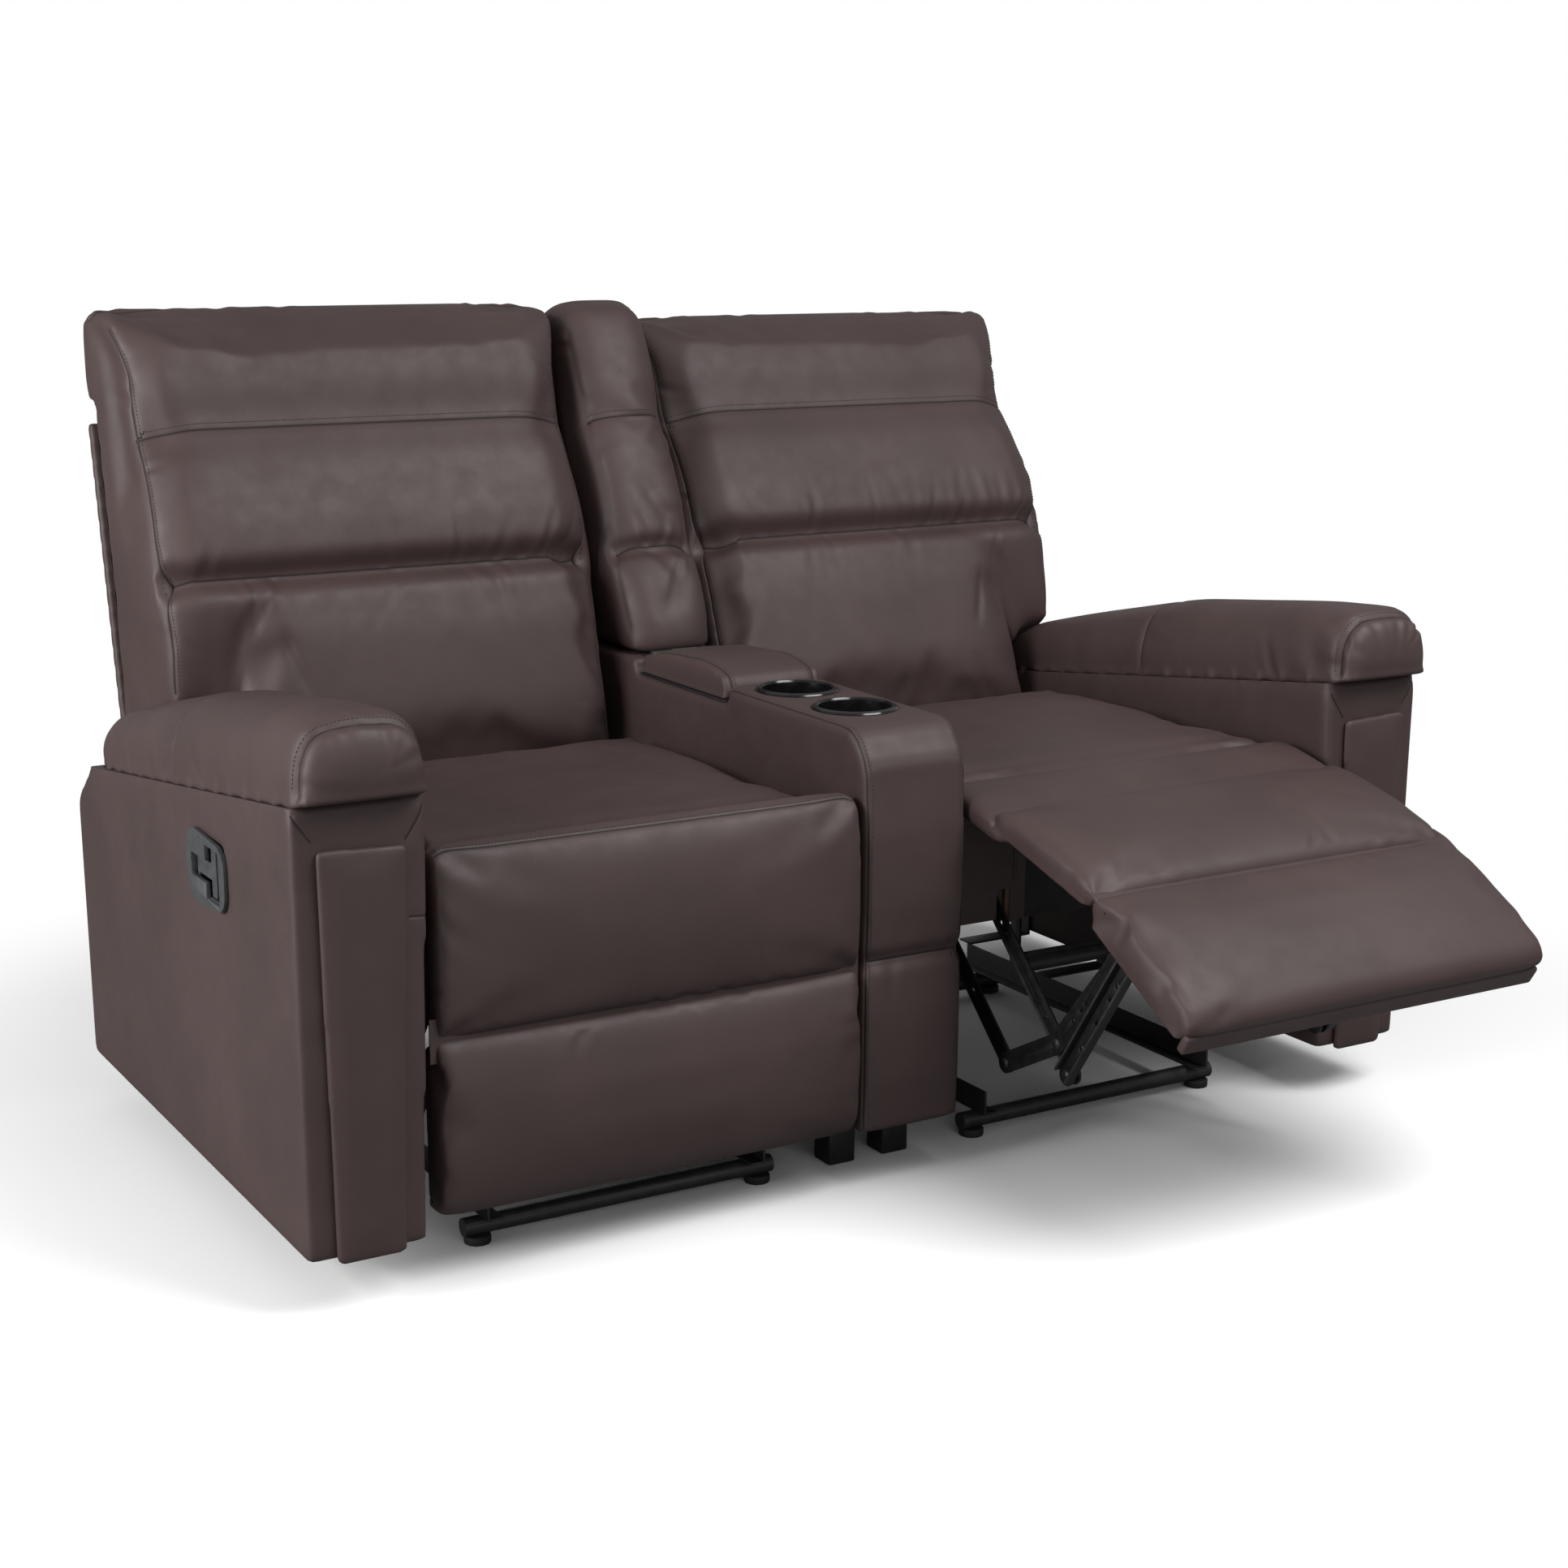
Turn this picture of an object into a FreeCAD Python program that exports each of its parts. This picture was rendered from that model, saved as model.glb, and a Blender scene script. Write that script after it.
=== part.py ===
import FreeCAD, Part
import math
import os
import re

import Sketcher
from FreeCAD import Placement, Rotation, Vector

# Reclining loveseat with a centre console, in millimetres.
# The front faces -Y, +X is on the right as seen from the front, and +Z is up.
# Each y is drawn back from the front of the arms, and each z up from the floor.
# Pieces are drawn for the right-hand half and mirrored for the left-hand half.
# The left seat is closed and upright, the right one has its footrest out and leans back a little.

SIZES = {
    # arms
    "arm_inner": 621.0,
    "arm_wide": 153.0,
    "arm_taper": 17.0,
    "arm_bottom": 65.0,
    "arm_top": 563.0,
    "arm_slope": 0.1326,
    "arm_rear": 802.0,
    "arm_corner_back": 735.0,
    "arm_corner_high": 417.0,
    "arm_wall": 14.0,
    "arm_timber": 45.0,
    "panel_proud": 11.0,
    "panel_high": 516.0,
    "pad_overhang": 1.0,
    "pad_nose": 30.0,
    "pad_crease": 390.0,
    "pad_rear": 724.0,
    "soft_gap": 0.4,
    # release handles
    "handle_back": 265.0,
    "handle_high": 438.0,
    "handle_long": 130.0,
    "handle_tall": 90.0,
    "handle_proud": 5.0,
    "pocket_deep": 24.0,
    "pocket_long": 94.0,
    "pocket_tall": 60.0,
    "pocket_skin": 2.5,
    "lever_thick": 5.0,
    "lever_pin": 2.5,
    "running_gap": 0.05,
    # console
    "console_half": 71.0,
    "console_front": 12.0,
    "console_bottom": 73.0,
    "console_top": 566.0,
    "console_rear": 800.0,
    "console_board": 12.0,
    "deck_thick": 20.0,
    "deck_front": 62.0,
    "holder_front": 156.0,
    "holder_pitch": 134.0,
    "holder_rim": 53.0,
    "holder_inner": 44.0,
    "holder_deep": 62.0,
    "holder_skin": 1.5,
    "bin_over": 78.0,
    "bin_rear": 560.0,
    "bin_floor": 400.0,
    "bin_skin": 2.5,
    "lid_over": 57.0,
    "lid_rear": 584.0,
    "lid_board": 8.0,
    "lid_pad": 31.0,
    "lid_pin": 3.0,
    "console_foot": 38.0,
    # seats
    "lane_gap": 2.5,
    "seat_front": 52.4,
    "seat_rear": 588.0,
    "seat_low": 395.5,
    "rail_low": 362.0,
    "rail_high": 392.0,
    "rail_wide": 52.0,
    "rail_deep": 30.0,
    "front_board": 7.0,
    "front_board_low": 300.0,
    "strap_wide": 50.0,
    "strap_thick": 3.0,
    # backs
    "hinge_back": 690.0,
    "hinge_high": 375.0,
    "back_low": 402.0,
    "back_frame_back": 775.0,
    "back_frame_high": 900.0,
    "back_lean": 0.17,
    "back_sheet": 8.0,
    "back_post": 17.0,
    "back_post_wide": 38.0,
    "wing_low": 574.0,
    "wing_front": 644.0,
    "roll_back": 604.0,
    "channel_back": 664.0,
    "channel_high": 701.0,
    "headline_back": 748.0,
    "headline_high": 873.0,
    "crown_back": 798.0,
    "crown_high": 1014.0,
    "bracket_high": 600.0,
    "console_back_low": 300.0,
    "console_back_high": 975.0,
    "wing_over": 84.0,
    "rear_panel_low": 500.0,
    "rear_panel_high": 880.0,
    "rear_panel_thick": 13.0,
    "right_recline": 7.0,
    # footrest pads, closed
    "bridge_roll_back": 30.0,
    "bridge_roll_high": 475.0,
    "bridge_roll": 22.0,
    "foot_hinge_back": 25.0,
    "foot_hinge_high": 283.0,
    "foot_out_back": -220.369,
    "foot_out_high": 404.322,
    "foot_pad_low": 76.0,
    "pad_thick": 40.0,
    "foot_pad_thick": 53.0,
    "board_thick": 10.0,
    "bridge_turn": 74.0,
    "foot_turn": 60.0,
    # footrest linkage, closed
    "crank_pivot_back": 102.98,
    "crank_pivot_high": 345.928,
    "crank_end_back": 266.767,
    "crank_end_high": 114.953,
    "crank_share": 0.85013,
    "crank_turn": 81.2565,
    "tube_along": 126.6,
    "tube_radius": 12.5,
    "rear_pivot_back": 203.408,
    "rear_pivot_high": 286.839,
    "rear_end_back": 346.236,
    "rear_end_high": 97.961,
    "lift_pivot_back": 73.823,
    "lift_pivot_high": 245.13,
    "tilt_pivot_back": 132.987,
    "tilt_pivot_high": 273.319,
    "link_half": 13.0,
    "link_thick": 3.0,
    "link_gap": 0.5,
    "link_flange": 10.0,
    "rivet": 4.0,
    "plate_out": 186.0,
    # base
    "glide_high": 10.0,
    "glide_radius": 16.0,
    "base_tube": 11.0,
    "front_tube_back": 115.0,
    "rear_tube_back": 600.0,
    "tube_reach": 203.5,
    "base_rail_tall": 32.0,
    "base_rail_flange": 20.0,
    "upright_front": 290.0,
    "upright_rear": 520.0,
    "upright_wide": 24.0,
    "joiner_wide": 30.0,
    "joiner_front": 440.0,
    "joiner_rear": 640.0,
    # from the front of the arms back to the part's origin
    "origin_back": 284.0,
}

doc = FreeCAD.newDocument("loveseat")
sheet = doc.addObject("Spreadsheet::Sheet", "sizes")
for row, (alias, value) in enumerate(SIZES.items(), start=1):
    sheet.set("A%d" % row, alias)
    sheet.set("B%d" % row, str(value))
    sheet.setAlias("B%d" % row, alias)
doc.recompute()


# Sizes that add up from others
SUMS = {"arm_outer": ("arm_inner", "arm_wide"), "wing_reach": ("arm_inner", "wing_over"),
        "lid_front": ("holder_front", "holder_pitch", "lid_over"),
        "bin_front": ("holder_front", "holder_pitch", "bin_over")}


def size(alias):
    """The sheet's value of one named size, or the sum of those that make it up."""
    return sum(float(sheet.get(part)) for part in SUMS.get(alias, (alias,)))


def bound(formula):
    """A formula of named sizes, as an expression on the sheet's cells."""
    def cells(word):
        names = SUMS.get(word.group(0), (word.group(0),))
        return "(%s)" % " + ".join("sizes." + name for name in names)

    return re.sub(r"[a-z_]+", cells, str(formula))


MIDDLE = "(console_half + arm_inner - lane_gap) / 2"
seat_middle = (size("console_half") + size("arm_inner") - size("lane_gap")) / 2.0
seat_half = (size("arm_inner") - size("console_half") - 3.0 * size("lane_gap")) / 2.0


# Drawing helpers

def block(name, across, back, high):
    """A box between pairs of formulas along X, Y and Z."""
    solid = doc.addObject("Part::Box", name)
    spans = zip(("Length", "Width", "Height"), "xyz", (across, back, high))
    for side, letter, (low, top) in spans:
        solid.setExpression(side, bound("%s - (%s)" % (top, low)))
        solid.setExpression("Placement.Base." + letter, bound(low))
    return solid


def rod(name, along, radius, length, start):
    """A round bar of formula sizes from a start point, along "x" or "z"."""
    solid = doc.addObject("Part::Cylinder", name)
    solid.setExpression("Radius", bound(radius))
    solid.setExpression("Height", bound(length))
    if along == "x":
        solid.Placement = Placement(Vector(), Rotation(Vector(0, 1, 0), 90))
    for letter, formula in zip("xyz", start):
        solid.setExpression("Placement.Base." + letter, bound(formula))
    return solid


def boolean(kind, name, shapes):
    """A Part::Cut of two shapes, or a Part::MultiFuse of several."""
    solid = doc.addObject(kind, name)
    if kind == "Part::Cut":
        solid.Base, solid.Tool = shapes
    else:
        solid.Shapes = shapes
    return solid


def rounded(corners):
    """Lines and arcs round a closed outline of (a, b, corner radius)."""
    points = [Vector(a, b, 0) for a, b, _ in corners]
    starts, ends, middles = [], [], []
    for index, (_, _, radius) in enumerate(corners):
        here = points[index]
        before = (points[index - 1] - here).normalize()
        after = (points[(index + 1) % len(points)] - here).normalize()
        half_angle = before.getAngle(after) / 2.0
        reach = radius / math.tan(half_angle)
        starts.append(here + before * reach)
        ends.append(here + after * reach)
        inward = (before + after).normalize()
        middles.append(here + inward * (radius / math.sin(half_angle) - radius))
    edges = []
    for index, (_, _, radius) in enumerate(corners):
        if radius > 0:
            edges.append(Part.Arc(starts[index], middles[index], ends[index]))
        following = starts[(index + 1) % len(corners)]
        if ends[index].distanceToPoint(following) > 1e-6:
            edges.append(Part.LineSegment(ends[index], following))
    return edges


def capsule(start, end, half):
    """A round-ended bar outline between two (a, b) points."""
    first, last = Vector(start[0], start[1], 0), Vector(end[0], end[1], 0)
    along = (last - first).normalize() * half
    across = Vector(-along.y, along.x, 0)
    corners = (first - along + across, last + along + across,
               last + along - across, first - along - across)
    return rounded([(corner.x, corner.y, half) for corner in corners])


def bar_outline(start, end, half):
    """Corners of a square-ended bar between two (a, b) points."""
    first, last = Vector(start[0], start[1], 0), Vector(end[0], end[1], 0)
    along = (last - first).normalize() * half * 0.6
    across = Vector(-along.y, along.x, 0).normalize() * half
    corners = (first - along + across, last + along + across, last + along - across, first - along - across)
    return [(corner.x, corner.y, 0.0) for corner in corners]


def sketch_of(body, name, plane, level, edges, radii=()):
    """A sketch of edges on a plane of the body, lifted to a level formula."""
    sketch = body.newObject("Sketcher::SketchObject", name)
    origin = [item for item in body.Origin.OriginFeatures if item.Role == plane]
    sketch.AttachmentSupport = [(origin[0], "")]
    sketch.MapMode = "FlatFace"
    sketch.setExpression("AttachmentOffset.Base.z", bound(level))
    sketch.addGeometry(edges, False)
    first_circle = len(edges) - len(radii)
    for index, radius in enumerate(radii):
        held = Sketcher.Constraint("Radius", first_circle + index, edges[first_circle + index].Radius)
        sketch.addConstraint(held)
        sketch.setExpression("Constraints[%d]" % index, bound(radius))
    return sketch


def circle(centre, radius):
    """A circle about an (a, b) point."""
    return Part.Circle(Vector(centre[0], centre[1], 0), Vector(0, 0, 1), radius)


def plate(name, pads, plane="YZ_Plane"):
    """A body of one or more pads, each (level, thickness, edges)."""
    body = doc.addObject("PartDesign::Body", name)
    for index, (level, thick, edges) in enumerate(pads):
        sketch = sketch_of(body, "%s_outline_%d" % (name, index), plane, level, edges)
        pad = body.newObject("PartDesign::Pad", "%s_pad_%d" % (name, index))
        pad.Profile = sketch
        pad.setExpression("Length", bound(thick))
        body.Tip = pad
    return body


def drill(body, centres, radius, level, depth, plane="YZ_Plane"):
    """Round holes of one radius formula, cut from a level down through a depth."""
    holes = [circle(centre, 1.0) for centre in centres]
    name = body.Name + "_holes"
    sketch = sketch_of(body, name, plane, level, holes, [radius] * len(holes))
    pocket = body.newObject("PartDesign::Pocket", name + "_pocket")
    pocket.Profile = sketch
    pocket.setExpression("Length", bound(depth))
    body.Tip = pocket
    return body


def mirrored(source):
    """The left-hand twin of a right-hand piece."""
    twin = doc.addObject("Part::Mirroring", source.Name + "_twin")
    twin.Source = source
    twin.Normal = Vector(1, 0, 0)
    twin.Base = Vector(0, 0, 0)
    return twin


def across_seat(name, source):
    """A piece drawn at one side of the right seat, with its twin at the seat's other side."""
    twin = doc.addObject("Part::Mirroring", name + "_far")
    twin.Source = source
    twin.Normal = Vector(1, 0, 0)
    twin.setExpression("Base.x", bound(MIDDLE))
    return [source, twin]


def closed_wire(x, outline):
    """A wire at x of (y, z, bulge to the next corner) corners, each bulge in three straight steps."""
    points = []
    for index, (back, high, bulge) in enumerate(outline):
        start = Vector(x, back, high)
        next_back, next_high, _ = outline[(index + 1) % len(outline)]
        run = Vector(x, next_back, next_high) - start
        points.append(start)
        if bulge > 0.0:
            outward = Vector(0, -run.z, run.y).normalize() * bulge
            points.append(start + run * 0.3 + outward * 0.84)
            points.append(start + run * 0.7 + outward * 0.84)
    return Part.makePolygon(points + points[:1])


def solid_loft(sections):
    """A closed solid ruled through section wires."""
    shape = Part.makeLoft(sections, True, True)
    if shape.Volume < 0:
        shape.reverse()
    return shape


def pillow(name, low, high, outline, draw):
    """A crowned cushion across X: its two ends are drawn in, its seat and back faces stay put."""
    centre_back = sum(corner[0] for corner in outline) / len(outline)
    centre_high = sum(corner[1] for corner in outline) / len(outline)
    span = high - low
    stations = ((0.0, 1.0), (0.02, 0.5), (0.07, 0.2), (0.2, 0.03), (0.8, 0.03), (0.93, 0.2), (0.98, 0.5),
                (1.0, 1.0))
    sections = []
    for share, pull in stations:
        section = []
        for back, height, bulge, free in outline:
            inward = Vector(0, centre_back - back, centre_high - height).normalize() * (draw * pull * free)
            section.append((back + inward.y, height + inward.z, bulge * (1.0 - 0.5 * pull)))
        sections.append(closed_wire(low + span * share, section))
    feature = doc.addObject("Part::Feature", name)
    feature.Shape = solid_loft(sections)
    return feature


def turned(point, about, degrees):
    """A (y, z) point turned about another, tops swinging to the front first."""
    angle = math.radians(degrees)
    back, high = point[0] - about[0], point[1] - about[1]
    return (about[0] + back * math.cos(angle) - high * math.sin(angle),
            about[1] + back * math.sin(angle) + high * math.cos(angle))


def pose(before, after, degrees):
    """The placement that carries the (y, z) point before to after and turns about X."""
    turn = Rotation(Vector(1, 0, 0), degrees)
    start = Vector(0, before[0], before[1])
    return Placement(Vector(0, after[0], after[1]) - turn.multVec(start), turn)


def direction(start, end):
    """The angle in degrees of the line between two (y, z) points."""
    return math.degrees(math.atan2(end[1] - start[1], end[0] - start[0]))


nodes = []


def publish(label, pieces):
    """One named sub-part, from one or more pieces, moved to the part's own origin."""
    node = doc.addObject("Part::Compound", label + "_node")
    node.Label = label
    node.Links = pieces
    node.Placement = Placement(Vector(0, -size("origin_back"), 0), Rotation())
    nodes.append(node)


def carried(name, pieces, placement):
    """Pieces that move together, set at their rest placement."""
    group = doc.addObject("Part::Compound", name)
    group.Links = pieces
    group.Placement = placement
    return [group]


def publish_pair(label, make):
    """The same piece on both halves, as left_ and right_ nodes."""
    for side in ("left", "right"):
        pieces = make(side)
        if side == "left":
            pieces = [mirrored(piece) for piece in pieces]
        publish("%s_%s" % (side, label), pieces)


def publish_both(label, pieces):
    """One node that holds the pieces of both halves."""
    publish(label, pieces + [mirrored(piece) for piece in pieces])


# Arms

def arm_line(back, below=0.0):
    """Height of the seam between arm and pad at a distance back."""
    return size("arm_top") - size("arm_slope") * back - below


def arm_profile(inset, drop):
    """The arm's side outline, drawn in by an inset and lowered by a drop."""
    corner = size("arm_corner_back")
    return [(inset, size("arm_bottom"), 4.0),
            (inset, arm_line(inset, drop), 8.0),
            (corner, arm_line(corner, drop), 30.0),
            (size("arm_rear") - inset, size("arm_corner_high") - drop, 25.0),
            (size("arm_rear") - inset, size("arm_bottom"), 6.0)]


def arm_cover(side):
    """Leather-covered boards: outer side with a handle window, inner side, front and rear."""
    outer = plate("arm_outer_board_" + side, [("arm_outer - arm_wall", "arm_wall",
                                               rounded(arm_profile(0.0, 0.0)))])
    window_back, window_high = size("handle_back"), size("handle_high")
    long_half = size("pocket_long") / 2 + size("pocket_skin") + size("soft_gap")
    tall_half = size("pocket_tall") / 2 + size("pocket_skin") + size("soft_gap")
    window = [(window_back - long_half, window_high - tall_half, 0.0),
              (window_back - long_half, window_high + tall_half, 0.0),
              (window_back + long_half, window_high + tall_half, 0.0),
              (window_back + long_half, window_high - tall_half, 0.0)]
    sketch = sketch_of(outer, "arm_window_" + side, "YZ_Plane", "arm_outer", rounded(window))
    pocket = outer.newObject("PartDesign::Pocket", "arm_window_pocket_" + side)
    pocket.Profile = sketch
    pocket.setExpression("Length", bound("arm_wall"))
    outer.Tip = pocket
    inner = plate("arm_inner_board_" + side,
                  [("arm_inner", "arm_wall + arm_taper", rounded(arm_profile(0.0, 0.0)))])
    top, low = size("arm_top"), size("arm_bottom") - 1.0
    wedge = [(size("arm_inner") - 1.0, top, 0.0), (size("arm_inner"), top, 0.0),
             (size("arm_inner") + size("arm_taper"), low, 0.0), (size("arm_inner") - 1.0, low, 0.0)]
    shave = sketch_of(inner, "arm_taper_" + side, "XZ_Plane", "0", rounded(wedge))
    cut = inner.newObject("PartDesign::Pocket", "arm_taper_pocket_" + side)
    cut.Profile = shave
    cut.Type = "ThroughAll"
    cut.Midplane = True
    inner.Tip = cut
    inside = ("arm_inner + arm_wall + arm_taper", "arm_outer - arm_wall")
    corner, wall = size("arm_corner_back"), size("arm_wall")
    rear_face, turn_high = size("arm_rear"), size("arm_corner_high")
    tail_low = turn_high - size("arm_timber")
    tail = [(corner - wall, arm_line(corner - wall), 0.0), (corner, arm_line(corner), 30.0),
            (rear_face, turn_high, 25.0), (rear_face, tail_low, 0.0), (rear_face - wall, tail_low, 0.0),
            (rear_face - wall, turn_high - wall, 8.0),
            (corner - wall, arm_line(corner - wall, wall + 1.0), 0.0)]
    width = "arm_outer - arm_inner - 2 * arm_wall - arm_taper"
    tail_board = plate("arm_tail_board_" + side, [(inside[0], width, rounded(tail))])
    front = block("arm_front_board_" + side, inside, ("0", "arm_wall"),
                  ("arm_bottom", "arm_top - arm_slope * arm_wall - 1"))
    rear = block("arm_rear_board_" + side, inside, ("arm_rear - arm_wall", "arm_rear"),
                 ("arm_bottom", "arm_corner_high - arm_timber"))
    return [outer, inner, front, rear, tail_board]


def arm_frame(side):
    """Timber posts and rails inside the arm."""
    inside = ("arm_inner + arm_wall + arm_taper", "arm_outer - arm_wall")
    front_post = block("arm_front_post_" + side, inside, ("arm_wall", "arm_wall + arm_timber"),
                       ("arm_bottom + arm_timber",
                        "arm_top - arm_slope * (arm_wall + arm_timber) - arm_timber"))
    rear_post = block("arm_rear_post_" + side, inside,
                      ("arm_rear - arm_wall - arm_timber", "arm_rear - arm_wall"),
                      ("arm_bottom + arm_timber", "arm_corner_high - arm_timber"))
    bottom = block("arm_bottom_rail_" + side, inside, ("arm_wall", "arm_rear - arm_wall"),
                   ("arm_bottom", "arm_bottom + arm_timber"))
    timber, wall = size("arm_timber"), size("arm_wall")
    far = size("arm_corner_back") - wall
    slope = [(wall, arm_line(wall, timber + 1.0), 0.0), (wall, arm_line(wall, 1.0), 0.0),
             (far, arm_line(far, 1.0), 0.0), (far, arm_line(far, timber + 1.0), 0.0)]
    width = "arm_outer - arm_inner - 2 * arm_wall - arm_taper"
    top = plate("arm_top_rail_" + side, [(inside[0], width, rounded(slope))])
    return [front_post, rear_post, bottom, top]


def arm_front_panel(side):
    """The raised padded panel on the arm's front."""
    outer, inner = size("arm_outer"), size("arm_inner")
    high, low = size("panel_high"), size("arm_bottom") - 2.0
    corners = [(inner + 28.0, high - 4.0, 8.0), (outer - 26.0, high, 8.0),
               (outer - 32.0, low, 6.0), (inner + 43.0, low, 6.0)]
    body = plate("arm_panel_" + side, [("soft_gap", "panel_proud", rounded(corners))], "XZ_Plane")
    edge = body.newObject("PartDesign::Chamfer", "arm_panel_edge_" + side)
    pad = body.Group[-2]
    doc.recompute()
    front = size("panel_proud") + size("soft_gap")
    names = ["Edge%d" % (index + 1) for index, item in enumerate(pad.Shape.Edges)
             if abs(item.BoundBox.YMin + front) < 0.01 and abs(item.BoundBox.YMax + front) < 0.01]
    edge.Base = (pad, names)
    edge.Size = 4.0
    body.Tip = edge
    return [body]


def arm_pad(side):
    """The long padded armrest, high and rounded in front and low behind."""
    low_side = size("arm_inner") - size("pad_overhang")
    high_side = size("arm_outer") + size("pad_overhang")
    middle, half_wide = (low_side + high_side) / 2.0, (high_side - low_side) / 2.0
    front, rear, crease = -size("pad_nose"), size("pad_rear"), size("pad_crease")
    # how far back, crown height above the seam, share of the full width
    stations = ((front, 44.0, 0.68), (front + 6.0, 66.0, 0.84), (front + 18.0, 82.0, 0.95),
                (12.0, 93.0, 1.0),
                (90.0, 98.0, 1.0), (216.0, 98.0, 1.0), (crease - 50.0, 102.0, 1.0), (crease, 98.0, 0.985),
                (crease + 65.0, 92.0, 0.97), (rear - 150.0, 82.0, 0.95), (rear - 45.0, 72.0, 0.92),
                (rear - 10.0, 58.0, 0.88), (rear, 40.0, 0.74))
    steps = 12
    sections = []
    for back, crown, share in stations:
        base = arm_line(back) + size("soft_gap") + (1.0 - share) * 22.0
        tall = crown - (1.0 - share) * 22.0
        points = []
        for step in range(steps + 1):
            angle = math.pi * step / steps
            wide = math.copysign(abs(math.cos(angle)) ** 0.55, math.cos(angle))
            points.append(Vector(middle - half_wide * share * wide, back,
                                 base + tall * math.sin(angle) ** 0.7))
        sections.append(Part.makePolygon(points + points[:1]))
    feature = doc.addObject("Part::Feature", "arm_pad_" + side)
    feature.Shape = solid_loft(sections)
    return [feature]


def handle_plate(side):
    """Moulded plate with a T-shaped opening, and the finger pocket behind it."""
    back, high = size("handle_back"), size("handle_high")
    long_half, tall_half = size("handle_long") / 2, size("handle_tall") / 2
    rim = rounded([(back - long_half, high - tall_half * 0.8, 27.0),
                   (back - long_half, high + tall_half * 0.8, 27.0),
                   (back + long_half, high + tall_half, 34.0), (back + long_half, high - tall_half, 34.0)])
    pocket_half, pocket_tall = size("pocket_long") / 2, size("pocket_tall") / 2
    skin = size("pocket_skin")

    def ring(grow):
        return rounded([(back - pocket_half - grow, high - pocket_tall - grow, 0.0),
                        (back - pocket_half - grow, high + pocket_tall + grow, 0.0),
                        (back + pocket_half + grow, high + pocket_tall + grow, 0.0),
                        (back + pocket_half + grow, high - pocket_tall - grow, 0.0)])

    body = plate("handle_plate_" + side, [("arm_outer - pocket_deep", "pocket_deep", ring(skin)),
                                          ("arm_outer", "handle_proud", rim)])
    hollow = sketch_of(body, "handle_hollow_" + side, "YZ_Plane", "arm_outer", ring(0.0))
    scoop = body.newObject("PartDesign::Pocket", "handle_scoop_" + side)
    scoop.Profile = hollow
    scoop.setExpression("Length", bound("pocket_deep - pocket_skin"))
    body.Tip = scoop
    wide, slot = 31.0, 13.0
    front, step, rear = back - pocket_half, back - 2.0, back + pocket_half
    tee = rounded([(front, high - wide, 5.0), (front, high + wide, 5.0), (step, high + wide, 0.0),
                   (step, high + slot, 0.0), (rear, high + slot, 4.0), (rear, high - slot, 4.0),
                   (step, high - slot, 0.0), (step, high - wide, 0.0)])
    mouth = sketch_of(body, "handle_mouth_" + side, "YZ_Plane", "arm_outer + handle_proud", tee)
    opening = body.newObject("PartDesign::Pocket", "handle_opening_" + side)
    opening.Profile = mouth
    opening.setExpression("Length", bound("handle_proud"))
    body.Tip = opening
    bore = rod("handle_bore_" + side, "z", "lever_pin + running_gap", "pocket_tall + 4 * pocket_skin",
               ("arm_outer - lever_pin - 1", "handle_back + pocket_long / 2 - 5",
                "handle_high - pocket_tall / 2 - 2 * pocket_skin"))
    return [boolean("Part::Cut", "handle_bezel_" + side, [body, bore])]


def handle_lever(side):
    """The T-shaped pull inside the plate, on its upright pin."""
    back, high = size("handle_back"), size("handle_high")
    bar, stem = 28.0, 9.5
    front, step = back - 22.0, back - 6.0
    rear = back + size("pocket_long") / 2 - 5.0
    tee = rounded([(front, high - bar, 4.0), (front, high + bar, 4.0), (step, high + bar, 0.0),
                   (step, high + stem, 0.0), (rear, high + stem, 0.0), (rear, high - stem, 0.0),
                   (step, high - stem, 0.0), (step, high - bar, 0.0)])
    body = plate("handle_pull_" + side, [("arm_outer - lever_thick - 1", "lever_thick", tee)])
    pin = rod("handle_pin_" + side, "z", "lever_pin", "pocket_tall + 1.8 * pocket_skin",
              ("arm_outer - lever_pin - 1", "handle_back + pocket_long / 2 - 5",
               "handle_high - pocket_tall / 2 - 0.9 * pocket_skin"))
    return [boolean("Part::MultiFuse", "handle_lever_" + side, [body, pin])]


publish_pair("arm_cover", arm_cover)
publish_pair("arm_frame", arm_frame)
publish_pair("arm_front_panel", arm_front_panel)
publish_pair("arm_pad", arm_pad)
publish_pair("handle_plate", handle_plate)
publish_pair("handle_lever", handle_lever)


# Console between the seats

def console_frame():
    """Leather-covered side boards, bottom, divider and rear board."""
    top, low = size("console_top") - size("deck_thick"), size("console_bottom")
    front, rear = size("deck_front"), size("console_rear")
    outline = rounded([(front, low, 3.0), (front, top, 3.0), (rear, top, 40.0), (rear, low, 6.0)])
    side = plate("console_side", [("console_half - console_board", "console_board", outline)])
    inside = ("-(console_half - console_board)", "console_half - console_board")
    bottom = block("console_floor", inside, ("deck_front", "console_rear - console_board"),
                   ("console_bottom", "console_bottom + console_board"))
    divider = block("console_divider", inside, ("bin_front - 2 * console_board",
                                                "bin_front - console_board"),
                    ("console_bottom + console_board", "console_top - deck_thick"))
    rear_board = block("console_rear_board", inside, ("console_rear - console_board", "console_rear"),
                       ("console_bottom", "console_top - deck_thick - 40"))
    return [side, mirrored(side), bottom, divider, rear_board]


def console_front_pad():
    """The padded front, rolled over at the top, with a sewn channel at the seats' height."""
    front, low, top = size("console_front"), size("console_bottom"), size("console_top")
    rear = size("deck_front") - size("soft_gap")
    outline = [(front + 7.0, low, 5.0, 0.8), (front + 5.0, 288.0, 6.0, 0.9), (front + 6.0, 508.0, 5.0, 0.9),
               (front + 20.0, top - 21.0, 5.0, 0.6), (rear, top, 0.0, 0.1), (rear, low, 0.0, 0.0)]
    half = size("console_half")
    return [pillow("console_front_shape", -half, half, outline, 6.0)]


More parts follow.
